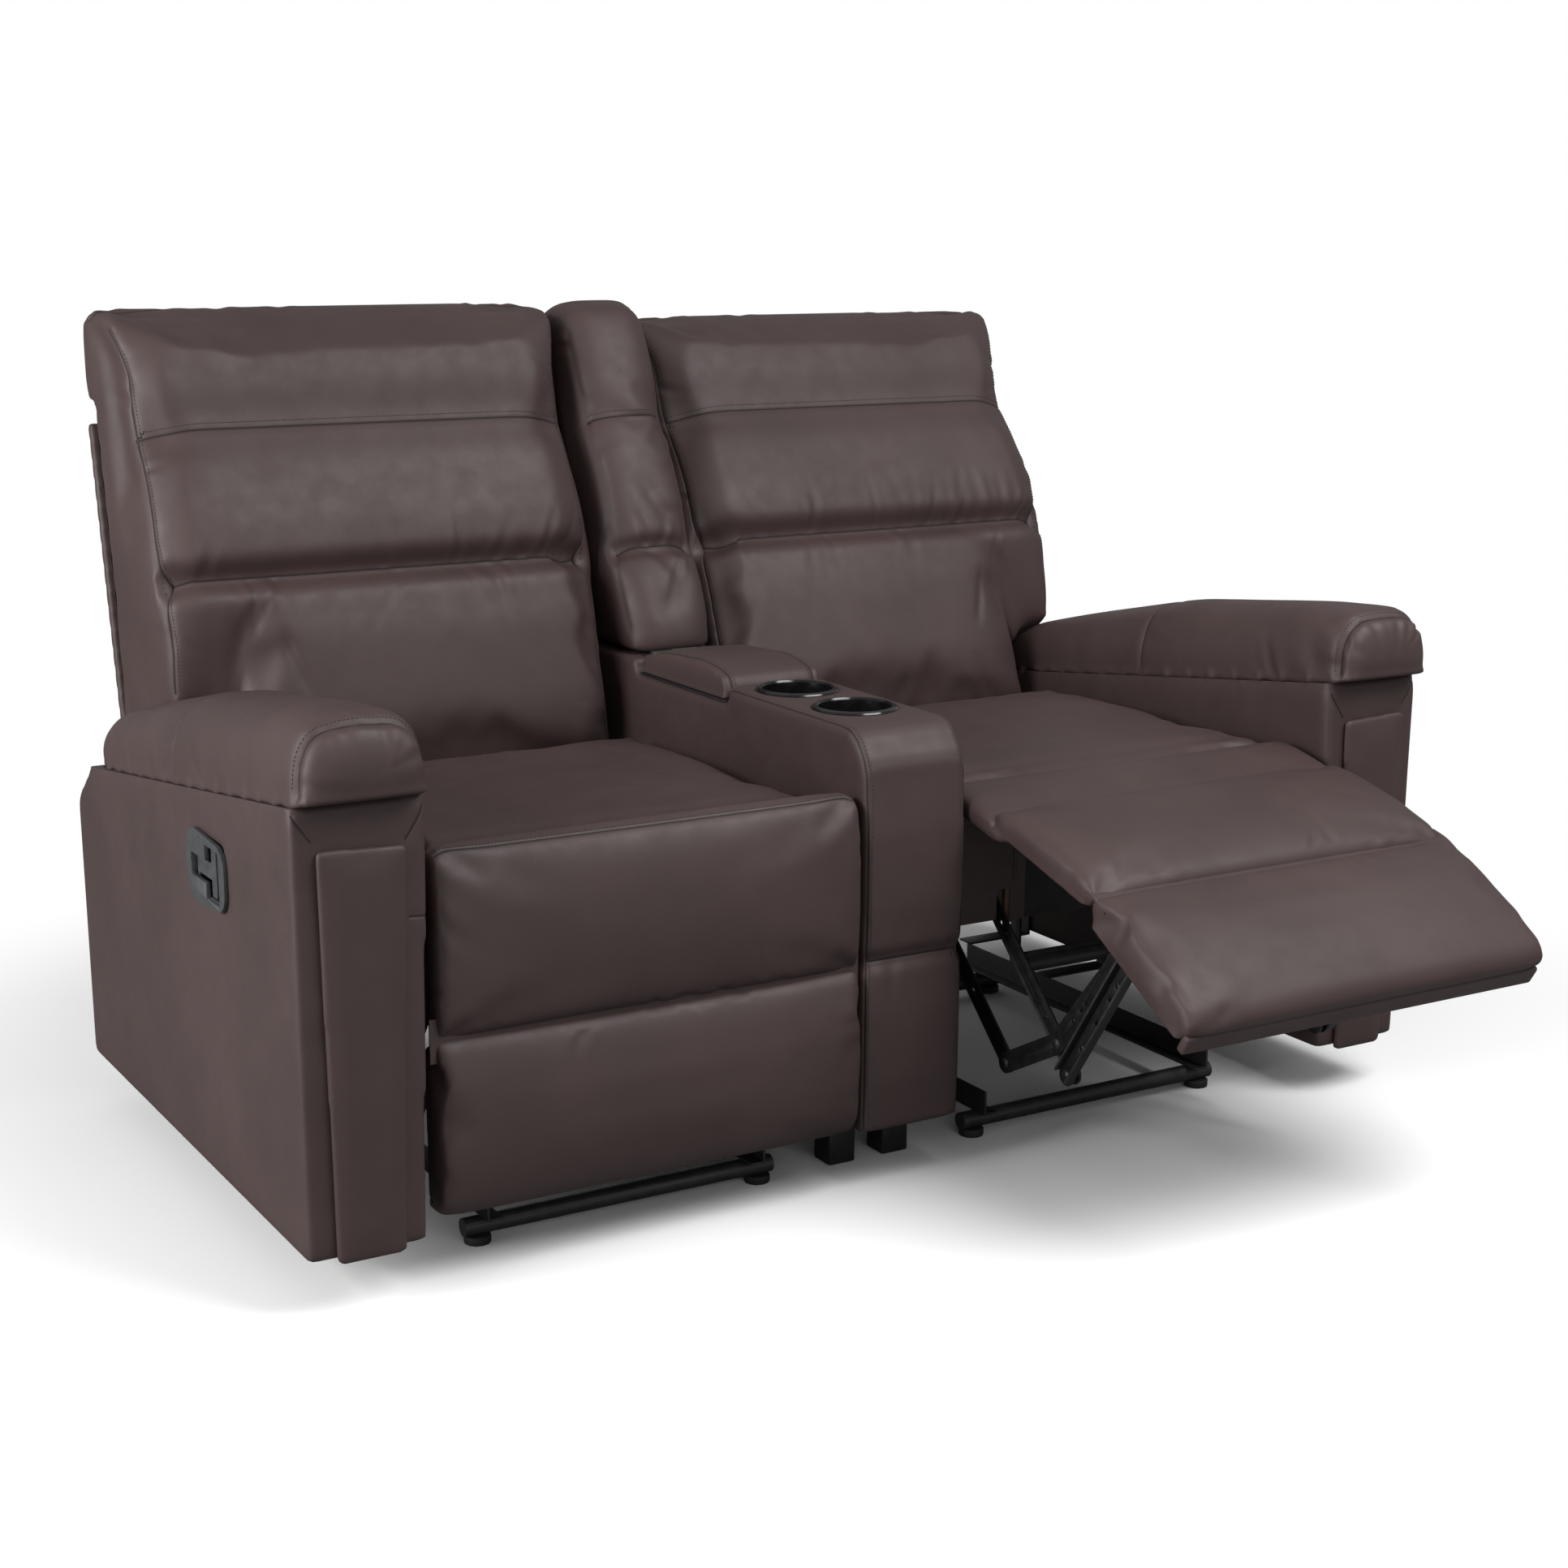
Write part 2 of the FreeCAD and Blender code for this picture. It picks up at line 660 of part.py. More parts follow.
def console_deck():
    """The top between the front roll and the lid, with two round holes."""
    half = size("console_half")
    corners = [(-half, size("deck_front"), 0.0), (-half, size("lid_front") - 2.0, 0.0),
               (half, size("lid_front") - 2.0, 0.0), (half, size("deck_front"), 0.0)]
    body = plate("console_deck_board", [("console_top - deck_thick", "deck_thick", rounded(corners))],
                 "XY_Plane")
    centres = [(0.0, size("holder_front")), (0.0, size("holder_front") + size("holder_pitch"))]
    drill(body, centres, "holder_inner + holder_skin + soft_gap", "console_top", "deck_thick", "XY_Plane")
    strip = block("console_rail", ("-console_half", "console_half"), ("lid_rear + 9", "console_rear - 42"),
                  ("console_top - deck_thick", "console_top - 2"))
    return [body, strip]


def cup_holders():
    """Two spun cups with a rolled rim."""
    cups = []
    for index in (0, 1):
        body = doc.addObject("PartDesign::Body", "cup_%d" % index)
        inner, skin, deep = size("holder_inner"), size("holder_skin"), size("holder_deep")
        rim, top = size("holder_rim"), size("console_top")
        points = [(0.0, top - deep), (inner + skin, top - deep), (inner + skin, top), (rim, top),
                  (rim - 2.5, top + 3.5), (inner, top + 3.5), (inner, top - deep + skin),
                  (0.0, top - deep + skin)]
        corners = [Vector(a, b, 0) for a, b in points]
        edges = [Part.LineSegment(corners[place - 1], corners[place]) for place in range(len(corners))]
        sketch = sketch_of(body, "cup_outline_%d" % index, "XZ_Plane", "0", edges)
        spun = body.newObject("PartDesign::Revolution", "cup_spun_%d" % index)
        spun.Profile = sketch
        spun.ReferenceAxis = (sketch, ["V_Axis"])
        spun.Angle = 360.0
        body.Tip = spun
        body.setExpression("Placement.Base.y", bound("holder_front + %d * holder_pitch" % index))
        cups.append(body)
    return cups


def storage_bin():
    """The tub under the lid, hung by its flange."""
    outer = block("bin_body", ("-(console_half - console_board - 3)", "console_half - console_board - 3"),
                  ("bin_front", "bin_rear"), ("bin_floor", "console_top - deck_thick"))
    flange = block("bin_flange", ("-console_half", "console_half"), ("bin_front - 20", "bin_rear + 18"),
                   ("console_top - deck_thick", "console_top - deck_thick + bin_skin"))
    inner = block("bin_hollow",
                  ("-(console_half - console_board - 3 - bin_skin)",
                   "console_half - console_board - 3 - bin_skin"),
                  ("bin_front + bin_skin", "bin_rear - bin_skin"), ("bin_floor + bin_skin", "console_top"))
    tub = boolean("Part::MultiFuse", "bin_tub", [outer, flange])
    return [boolean("Part::Cut", "bin_shell", [tub, inner])]


def lid_hinge():
    """The fixed leaf with two knuckles and the hinge pin."""
    high = "console_top - 2"
    pieces = [block("lid_leaf", ("-50", "50"), ("lid_rear + 9", "lid_rear + 30"), (high, high + " + 1.5"))]
    for index, start in enumerate(("-50", "20")):
        pieces.append(rod("lid_knuckle_%d" % index, "x", "2 * lid_pin", "30",
                          (start, "lid_rear + 2", "console_top + 2")))
        pieces.append(block("lid_web_%d" % index, (start, start + " + 30"),
                            ("lid_rear + 2", "lid_rear + 10"),
                            (high, high + " + 1.5")))
    pieces.append(rod("lid_pin_bar", "x", "lid_pin", "100", ("-50", "lid_rear + 2", "console_top + 2")))
    return [boolean("Part::MultiFuse", "lid_fixed_leaf", pieces)]


def lid_board():
    """The board under the lid's padding, with one knuckle round the hinge pin."""
    half = "(console_half - 3)"
    board = block("lid_sheet", ("-" + half, half), ("lid_front + 4", "lid_rear - 5"),
                  ("console_top - deck_thick + bin_skin + 0.5",
                   "console_top - deck_thick + bin_skin + 0.5 + lid_board"))
    place = ("lid_rear + 2", "console_top + 2")
    eye = rod("lid_eye", "x", "2 * lid_pin", "39", ("-19.5",) + place)
    arm = block("lid_arm", ("-19.5", "19.5"), ("lid_rear - 12", "lid_rear + 2"),
                ("console_top - deck_thick + bin_skin + 0.5 + lid_board", "console_top + 2"))
    bore = rod("lid_bore", "x", "lid_pin + running_gap", "39.4", ("-19.7",) + place)
    body = boolean("Part::MultiFuse", "lid_leaf_board", [board, eye, arm])
    return [boolean("Part::Cut", "lid_bored", [body, bore])]


def lid_pad():
    """The soft top of the lid, a little wider than the console."""
    low = size("console_top") - size("deck_thick") + size("bin_skin") + 0.5
    low = low + size("lid_board") + size("soft_gap")
    front, rear = size("lid_front"), size("lid_rear") - 12.5
    top = low + size("lid_pad")
    outline = [(front + 3.0, low, 0.5, 0.3), (front, low + 6.0, 3.0, 0.4),
               (front + 9.0, top - 7.0, 5.0, 0.6),
               (front + 110.0, top, 3.0, 0.6), (rear, low + 20.0, 0.0, 0.6), (rear, low, 0.0, 0.3)]
    half = size("console_half") + 1.0
    return [pillow("lid_pad_shape", -half, half, outline, 5.0)]


def console_back_line(high, ahead=0.0):
    """Distance back of the console backrest's board front at a height."""
    return size("back_frame_back") + 10.0 + size("back_lean") * (high - size("back_low")) - ahead


def console_back_frame():
    """The fixed backrest's board, standing in the console."""
    low, high = size("console_back_low"), size("console_back_high")
    thick = 16.0
    corners = [(console_back_line(low, 40.0), low, 0.0), (console_back_line(high, 40.0), high, 4.0),
               (console_back_line(high, 40.0) + thick, high, 4.0),
               (console_back_line(low, 40.0) + thick, low, 0.0)]
    width = "2 * (console_half - console_board - soft_gap)"
    return [plate("console_back_board", [("-(console_half - console_board - soft_gap)", width,
                                          rounded(corners))])]


def console_back_cushion():
    """The narrow fixed back cushion with a channel and a headline."""
    low, high = size("console_top") + 6.0, size("console_back_high")
    behind = size("soft_gap") + 40.0
    rear = console_back_line(high)
    outline = [(size("roll_back") + 2.0, low, 18.0, 0.7),
               (size("channel_back") + 8.0, size("channel_high") + 2.0, 14.0, 0.8),
               (size("headline_back") + 4.0, size("headline_high") - 1.0, 10.0, 0.8),
               (size("crown_back") + 8.0, high + 41.0, 16.0, 0.7),
               (rear + 16.0, high + 31.0, 4.0, 0.5),
               (rear + 10.0, high + size("soft_gap"), 0.0, 0.3),
               (console_back_line(high, behind), high + size("soft_gap"), 0.0, 0.0),
               (console_back_line(low, behind), low, 0.0, 0.0)]
    half = size("console_half") - 3.0
    return [pillow("console_back_shape", -half, half, outline, 9.0)]


def console_feet():
    """Four square feet under the console."""
    feet = []
    for name, back in (("front", "110"), ("rear", "700")):
        feet.append(block("console_foot_" + name, ("20", "20 + console_foot"),
                          (back, back + " + console_foot"),
                          ("0", "console_bottom")))
    return feet


publish("console_frame", console_frame())
publish("console_front_pad", console_front_pad())
publish("console_deck", console_deck())
publish("cup_holders", cup_holders())
publish("storage_bin", storage_bin())
publish("lid_hinge", lid_hinge())
publish("lid_board", lid_board())
publish("lid_pad", lid_pad())
publish("console_back_frame", console_back_frame())
publish("console_back_cushion", console_back_cushion())
publish_both("console_feet", console_feet())


# Base under each seat

def at(offset):
    """A formula at an offset from the seat's middle, towards the arm."""
    return "%s + %s" % (MIDDLE, offset)


def both_sides(name, make):
    """A piece at each side of the right seat."""
    return across_seat(name, make(name))


def base_rail(name):
    """An angle rail with its two uprights, in one welded piece."""
    tube_top = "glide_high + 2 * base_tube"
    web = block(name + "_web", (at("plate_out - 2 * link_thick"), at("plate_out - link_thick")),
                ("90", "650"),
                (tube_top, tube_top + " + base_rail_tall"))
    foot = block(name + "_foot", (at("plate_out - link_thick - base_rail_flange"),
                                  at("plate_out - 2 * link_thick")),
                 ("90", "650"), (tube_top, tube_top + " + link_thick"))
    pieces = [web, foot]
    for place in ("upright_front", "upright_rear"):
        pieces.append(block(name + "_" + place, (at("plate_out - link_thick"), at("plate_out")),
                            (place, place + " + upright_wide"), (tube_top + " + 6", "rear_pivot_high")))
    return boolean("Part::MultiFuse", name, pieces)


def base_tubes():
    """Front and rear cross tubes of the base."""
    tubes = []
    for name in ("front", "rear"):
        place = (at("-tube_reach"), name + "_tube_back", "glide_high + base_tube")
        tubes.append(rod("base_tube_" + name, "x", "base_tube", "2 * tube_reach", place))
    return tubes


def glides():
    """A round glide under each end of the cross tubes."""
    pads = []
    for name in ("front", "rear"):
        for end, offset in (("inner", "-(tube_reach - glide_radius - 2)"),
                            ("outer", "tube_reach - glide_radius - 2")):
            pad = doc.addObject("Part::Prism", "glide_%s_%s" % (name, end))
            pad.Polygon = 12
            pad.setExpression("Circumradius", bound("glide_radius"))
            pad.setExpression("Height", bound("glide_high"))
            pad.setExpression("Placement.Base.x", bound(at(offset)))
            pad.setExpression("Placement.Base.y", bound(name + "_tube_back"))
            pads.append(pad)
    return pads


def joiner(name, wall, back):
    """A bent strap from the base rail to the arm or the console."""
    rail_top = "glide_high + 2 * base_tube + base_rail_tall"
    if wall == "arm":
        reach = "arm_inner + arm_taper - 2"
        run = (at("plate_out - 2 * link_thick"), reach)
        leg = (reach + " - link_thick", reach)
    else:
        reach = "console_half"
        run = (reach, at("-(plate_out - 2 * link_thick)"))
        leg = (reach, reach + " + link_thick")
    width = (back, back + " + joiner_wide")
    strap = block(name + "_strap", run, width, (rail_top, rail_top + " + link_thick"))
    tab = block(name + "_tab", leg, width, (rail_top, rail_top + " + 45"))
    return boolean("Part::MultiFuse", name, [strap, tab])


publish_both("base_rails", both_sides("base_rail", base_rail))
publish_both("base_tubes", base_tubes())
publish_both("base_glides", glides())
publish_both("joining_brackets", [joiner("joiner_%s_%s" % (wall, back), wall, back)
                                  for wall in ("arm", "console")
                                  for back in ("joiner_front", "joiner_rear")])


# Seat side plates, frame and cushion

crank_pivot = (size("crank_pivot_back"), size("crank_pivot_high"))
crank_end = (size("crank_end_back"), size("crank_end_high"))
rear_pivot = (size("rear_pivot_back"), size("rear_pivot_high"))
rear_end = (size("rear_end_back"), size("rear_end_high"))
lift_pivot = (size("lift_pivot_back"), size("lift_pivot_high"))
tilt_pivot = (size("tilt_pivot_back"), size("tilt_pivot_high"))
hinge = (size("hinge_back"), size("hinge_high"))
share = size("crank_share")
crank_joint = (crank_pivot[0] + (crank_end[0] - crank_pivot[0]) * share,
               crank_pivot[1] + (crank_end[1] - crank_pivot[1]) * share)
LINK_BORE = "rivet + running_gap"


def side_plate(name):
    """The steel plate that carries the seat, the footrest links and the back, with its three pivot studs."""
    top = size("rail_low")
    front = crank_pivot[0] - 18.0
    low = rear_pivot[1] - 19.0
    eye = 16.0
    outline = [(front, crank_pivot[1] - 16.0, 10.0), (front, top, 0.0), (hinge[0] - 35.0, top, 0.0),
               (hinge[0] - eye, hinge[1] + eye, 0.0), (hinge[0] + eye, hinge[1] + eye, 14.0),
               (hinge[0] + eye, hinge[1] - eye, 14.0), (hinge[0] - 90.0, low, 0.0),
               (rear_pivot[0] - 16.0, low, 12.0), (crank_pivot[0] + 25.0, crank_pivot[1] - 16.0, 0.0)]
    pieces = [plate(name + "_sheet", [(at("plate_out"), "link_thick", rounded(outline))])]
    for pivot in ("crank_pivot", "rear_pivot", "hinge"):
        pieces.append(rod("%s_%s_stud" % (name, pivot), "x", "rivet", "link_thick + link_gap",
                          (at("plate_out + link_thick"), pivot + "_back", pivot + "_high")))
    return boolean("Part::MultiFuse", name, pieces)


publish_both("side_plates", both_sides("side_plate", side_plate))


def seat_frame(side):
    """Two side rails on the plates, front and rear rails, and the front board."""
    rails = []
    rail_span = ("seat_front + 2.5", "rear_tube_back")
    side_rail = block("seat_rail_" + side, (at("plate_out"), at("plate_out + rail_wide")), rail_span,
                      ("rail_low", "rail_high"))
    rails.extend(across_seat("seat_rail_" + side, side_rail))
    inside = (at("-plate_out"), at("plate_out"))
    rails.append(block("seat_front_rail_" + side, inside,
                       ("seat_front + 2.5 + front_board", "seat_front + 2.5 + front_board + rail_deep"),
                       ("rail_low", "rail_high")))
    rails.append(block("seat_rear_rail_" + side, inside, ("rear_tube_back - rail_deep", "rear_tube_back"),
                       ("rail_low", "rail_high")))
    rails.append(block("seat_front_board_" + side, inside,
                       ("seat_front + 2.5", "seat_front + 2.5 + front_board"),
                       ("front_board_low", "rail_high")))
    return rails


def seat_straps():
    """Four straps from front to rear under the cushion."""
    straps = []
    for index in range(4):
        offset = "(%d - 1.5) * 1.8 * strap_wide" % index
        sides = (at(offset + " - strap_wide / 2"), at(offset + " + strap_wide / 2"))
        straps.append(block("seat_strap_%d" % index, sides,
                            ("seat_front + 10", "rear_tube_back - 4"),
                            ("rail_high", "rail_high + strap_thick")))
    return straps


def seat_cushion(side):
    """The crowned seat cushion with a shallow cross seam near the front."""
    front, rear, low = size("seat_front"), size("seat_rear"), size("seat_low")
    outline = [(front + 1.0, low, 0.0, 0.2), (front, 472.0, 5.0, 0.1), (200.0, 478.0, 7.0, 1.0),
               (rear - 10.0, 466.0, 6.0, 0.8), (rear, low + 10.0, 0.0, 0.2), (rear - 4.0, low, 0.0, 0.1)]
    return [pillow("seat_cushion_shape_" + side, seat_middle - seat_half, seat_middle + seat_half,
                   outline, 15.0)]


publish_pair("seat_frame", seat_frame)
publish_both("seat_straps", seat_straps())
publish_pair("seat_cushion", seat_cushion)


# Backs, drawn upright and leant back about their hinge

def back_line(high, ahead=0.0):
    """Distance back of the back frame's front face at a height."""
    return size("back_frame_back") + size("back_lean") * (high - size("back_low")) - ahead


def leant(side, pieces):
    """The pieces of one back, leant back on the right-hand seat."""
    angle = -size("right_recline") if side == "right" else 0.0
    return carried(pieces[0].Name + "_leant", pieces, pose(hinge, hinge, angle))


def slab(low, high, ahead, thick):
    """A leaning slab outline between two heights, a distance ahead of the frame's front face."""
    return [(back_line(low, ahead), low, 0.0), (back_line(high, ahead), high, 0.0),
            (back_line(high, ahead) + thick, high, 0.0), (back_line(low, ahead) + thick, low, 0.0)]


def back_bracket(name):
    """The steel arm from the hinge up behind the back's sheet."""
    low = size("back_low") - 20.0
    middle = size("back_sheet") + size("back_post") / 2
    elbow = (back_line(low) + middle, low)
    tip = (back_line(size("bracket_high")) + middle, size("bracket_high"))
    level = at("plate_out + link_thick + link_gap")
    bar = bar_outline(elbow, tip, size("back_post") / 2 - 0.5)
    body = plate(name, [(level, "link_thick", capsule(hinge, elbow, 14.0)),
                        (level, "link_thick", rounded(bar))])
    return drill(body, [hinge], LINK_BORE, level + " + link_thick", "link_thick")


def back_brackets(side):
    """Both brackets of one back."""
    return leant(side, both_sides("back_bracket_" + side, back_bracket))


def back_frame(side):
    """A plywood sheet with two posts, a top rail and the wing beside the arm."""
    low, high = size("back_low"), size("back_frame_high")
    sheet_thick, post = size("back_sheet"), size("back_post")
    main = rounded(slab(low, high, 0.0, sheet_thick))
    wing = rounded(slab(size("wing_low") + 8.0, high, 0.0, sheet_thick))
    upright = rounded(slab(low, high - 40.0, -sheet_thick + 0.0, post))
    top = rounded(slab(high - 40.0, high, -sheet_thick, post))
    inner, outer = at("-%.2f" % (seat_half - 3.0)), at("%.2f" % (seat_half - 3.0))
    post_low = "plate_out + 2 * link_thick + link_gap"
    body = plate("back_sheet_" + side, [
        (inner, "%.2f" % (2 * seat_half - 6.0), main),
        (outer, "wing_reach - 12 - (%s)" % outer, wing),
        (at(post_low), "back_post_wide", upright),
        (at("-(%s) - back_post_wide" % post_low), "back_post_wide", upright),
        (inner, "wing_reach - 12 - (%s)" % inner, top)])
    return leant(side, [body])


def back_cushion(side):
    """The back cushion: lower roll, upper roll and headroll, with a wing beside the arm."""
    low, high = size("back_low"), size("back_frame_high")
    gap = size("soft_gap")
    channel = (size("channel_back"), size("channel_high"), 14.0, 0.7)
    over = [(size("headline_back"), size("headline_high"), 12.0, 0.7),
            (size("crown_back"), size("crown_high"), 18.0, 0.8),
            (back_line(high) + 32.0, size("crown_high") - 12.0, 9.0, 0.7),
            (back_line(high) + 27.0, high + gap, 0.0, 0.0), (back_line(high, gap), high + gap, 0.0, 0.0)]
    main = [(size("roll_back"), low, 15.0, 0.6), channel] + over + [(back_line(low, gap), low, 0.0, 0.0)]
    wing_low = size("wing_low")
    wing = [(size("wing_front"), wing_low, 8.0, 0.6), channel] + over
    wing = wing + [(back_line(wing_low, gap), wing_low, 0.0, 0.0)]
    inner, outer = seat_middle - seat_half, seat_middle + seat_half
    body = pillow("back_roll_" + side, inner, outer, main, 9.0)
    side_roll = pillow("back_wing_" + side, outer - 70.0, size("wing_reach"), wing, 9.0)
    return leant(side, [boolean("Part::MultiFuse", "back_cushion_" + side, [body, side_roll])])


def rear_panel(side):
    """The leather-covered outside back panel."""
    behind = -(size("back_sheet") + size("back_post") + size("soft_gap"))
    outline = slab(size("rear_panel_low"), size("rear_panel_high"), behind, size("rear_panel_thick"))
    outline = [(back, high, 5.0 if index > 1 else 0.0) for index, (back, high, _) in enumerate(outline)]
    inner = "console_half + lane_gap"
    lower = plate("rear_panel_" + side, [(inner, "wing_reach - (%s)" % inner, rounded(outline))])
    return leant(side, [lower])


publish_pair("back_bracket", back_brackets)
publish_pair("back_frame", back_frame)
publish_pair("back_cushion", back_cushion)
publish_pair("rear_panel", rear_panel)


# Footrest pads, drawn closed and swung out on the right-hand seat

foot_hinge = (size("foot_hinge_back"), size("foot_hinge_high"))
foot_hinge_out = (size("foot_out_back"), size("foot_out_high"))


def swung(side, pieces, before, after, degrees):
    """The pieces in their swung-out place on the right-hand seat."""
    placement = pose(before, after, degrees) if side == "right" else Placement()
    return carried(pieces[0].Name + "_swung", pieces, placement)


def bridge_swing(side, pieces):
    """Pieces that turn with the pad next to the seat."""
    return swung(side, pieces, foot_hinge, foot_hinge_out, -size("bridge_turn"))


def foot_swing(side, pieces):
    """Pieces that turn with the outer pad."""
    return swung(side, pieces, foot_hinge, foot_hinge_out, -size("foot_turn"))


def bridge_pad(side):
    """The pad that hangs from the seat's front edge."""
    back, high = size("bridge_roll_back"), size("bridge_roll_high")
    reach = size("bridge_roll")
    rear = size("pad_thick")
    low = foot_hinge[1] + 20.0
    outline = [(3.5, low, 9.0, 0.5), (back - reach, high, 6.4, 0.4), (back, high + reach, 6.4, 0.4),
               (back + reach, high, 0.0, 0.2), (back + reach - 2.0, high - 17.5, 0.0, 0.1),
               (rear, high - 17.5, 0.0, 0.0), (rear, low, 5.3, 0.0),
               (foot_hinge[0], foot_hinge[1] + size("soft_gap") / 2, 5.3, 0.0)]
    return bridge_swing(side, [pillow("bridge_pad_shape_" + side, seat_middle - seat_half,
                                      seat_middle + seat_half, outline, 8.0)])


def bridge_board(side):
    """The plywood board behind the bridge pad."""
    half = "(plate_out - 6)"
    board = block("bridge_board_shape_" + side, (at("-" + half), at(half)),
                  ("pad_thick + soft_gap", "pad_thick + soft_gap + board_thick"),
                  ("foot_hinge_high + 17", "bridge_roll_high - 20"))
    return bridge_swing(side, [board])


def foot_pad(side):
    """The outer footrest pad."""
    low, high, rear = size("foot_pad_low"), foot_hinge[1], size("foot_pad_thick")
    outline = [(5.0, low + 20.0, 11.0, 0.5), (4.0, high - 21.0, 6.4, 0.4),
               (foot_hinge[0], high - size("soft_gap") / 2, 6.4, 0.0),
               (rear, high - 21.0, 0.0, 0.0), (rear, low + 20.0, 6.0, 0.0), (30.0, low, 6.0, 0.4)]
    return foot_swing(side, [pillow("foot_pad_shape_" + side, seat_middle - seat_half,
                                    seat_middle + seat_half, outline, 8.0)])


def foot_board(side):
    """The plywood board behind the outer pad."""
    half = "(plate_out + 4)"
    board = block("foot_board_shape_" + side, (at("-" + half), at(half)),
                  ("foot_pad_thick + soft_gap", "foot_pad_thick + soft_gap + board_thick"),
                  ("foot_pad_low + 14", "foot_hinge_high - 21"))
    return foot_swing(side, [board])


def level(step):
    """The offset of the inner face of the links in one of the layers outside the side plate."""
    return "plate_out + %d * (link_thick + link_gap)" % (step + 1)


def foot_bracket(name):
    """A steel angle on the outer board, with the two link eyes."""
    face = size("foot_pad_thick") + size("soft_gap") + size("board_thick")
    low, high = size("foot_pad_low") + 42.0, size("foot_hinge_high") - 21.0
    half = size("link_half")
    web = rounded([(face, low, 0.0), (face, high, 0.0), (lift_pivot[0] + 6.0, high, 0.0),
                   (tilt_pivot[0] - 4.0, tilt_pivot[1] + half, 0.0),
                   (tilt_pivot[0] + half + 3.0, tilt_pivot[1] + half - 4.0, 9.0),
                   (tilt_pivot[0] + half + 3.0, tilt_pivot[1] - half, 9.0),
                   (lift_pivot[0] + 14.0, lift_pivot[1] - half - 12.0, 14.0), (face + 12.0, low, 0.0)])
    foot = rounded([(face, low, 0.0), (face, high, 0.0), (face + size("link_thick"), high, 0.0),
                    (face + size("link_thick"), low, 0.0)])
    return plate(name, [(at(level(2)), "link_thick", web),
                        (at("%s - 3 * link_flange" % level(2)), "3 * link_flange", foot)])


def foot_brackets(side):
    """Both brackets of one footrest."""
    return foot_swing(side, both_sides("foot_bracket_" + side, foot_bracket))


publish_pair("bridge_pad", bridge_pad)
publish_pair("bridge_board", bridge_board)
publish_pair("foot_pad", foot_pad)
publish_pair("foot_board", foot_board)
publish_pair("foot_bracket", foot_brackets)


# Footrest linkage, drawn closed

def carried_by_foot(point):
    """Where a point of the closed outer pad lies when the footrest is out."""
    moved = (foot_hinge_out[0] + point[0] - foot_hinge[0], foot_hinge_out[1] + point[1] - foot_hinge[1])
    return turned(moved, foot_hinge_out, -size("foot_turn"))


def turn_between(closed, opened):
    """The turn in degrees between two directions, under half a turn either way."""
    return (opened - closed + 180.0) % 360.0 - 180.0


crank_end_out = turned(crank_end, crank_pivot, -size("crank_turn"))
crank_joint_out = turned(crank_joint, crank_pivot, -size("crank_turn"))
lift_turn = turn_between(direction(crank_end, lift_pivot),
                         direction(crank_end_out, carried_by_foot(lift_pivot)))
tilt_turn = turn_between(direction(crank_joint, tilt_pivot),
                         direction(crank_joint_out, carried_by_foot(tilt_pivot)))
rear_end_out = turned((crank_joint_out[0] + rear_end[0] - crank_joint[0],
                       crank_joint_out[1] + rear_end[1] - crank_joint[1]), crank_joint_out, tilt_turn)
rear_turn = turn_between(direction(rear_pivot, rear_end), direction(rear_pivot, rear_end_out))


def stud(name, start, length, place):
    """A stud standing out from a link at a (y, z) place."""
    return rod(name + "_stud", "x", "rivet", length, (at(start), "%.3f" % place[0], "%.3f" % place[1]))


def crank(name):
    """The link from the side plate, with studs for two more links."""
    body = plate(name + "_bar", [(at(level(0)), "link_thick",
                                  capsule(crank_pivot, crank_end, size("link_half")))])
    drill(body, [crank_pivot], LINK_BORE, at(level(0) + " + link_thick"), "link_thick")
    face = level(0) + " + link_thick"
    pieces = [body, stud(name + "_end", face, "3 * (link_thick + link_gap)", crank_end),
              stud(name + "_mid", face, "link_thick + link_gap", crank_joint)]
    return boolean("Part::MultiFuse", name, pieces)


def cranks(side):
    """Both cranks of one seat, welded to the cross tube, with its drive lug."""
    near = crank("crank_" + side)
    portion = size("tube_along") / math.hypot(crank_end[0] - crank_pivot[0], crank_end[1] - crank_pivot[1])
    tube = (crank_pivot[0] + (crank_end[0] - crank_pivot[0]) * portion,
            crank_pivot[1] + (crank_end[1] - crank_pivot[1]) * portion)
    bar = rod("cross_tube_bar_" + side, "x", "tube_radius", "2 * (%s)" % level(0),
              (at("-(%s)" % level(0)), "%.3f" % tube[0], "%.3f" % tube[1]))
    below = (tube[0] + 6.0, tube[1] - 24.0)
    hook = (tube[0] - 10.0, tube[1] - 38.0)
    lug = plate("drive_lug_" + side, [(at("-62"), "link_thick", rounded(bar_outline(tube, below, 11.0))),
                                      (at("-62"), "link_thick", rounded(bar_outline(below, hook, 7.0)))])
    tube = boolean("Part::MultiFuse", "cross_tube_" + side, [bar, lug])
    pieces = across_seat("crank_" + side, near) + [tube]
    return swung(side, pieces, crank_pivot, crank_pivot, -size("crank_turn"))


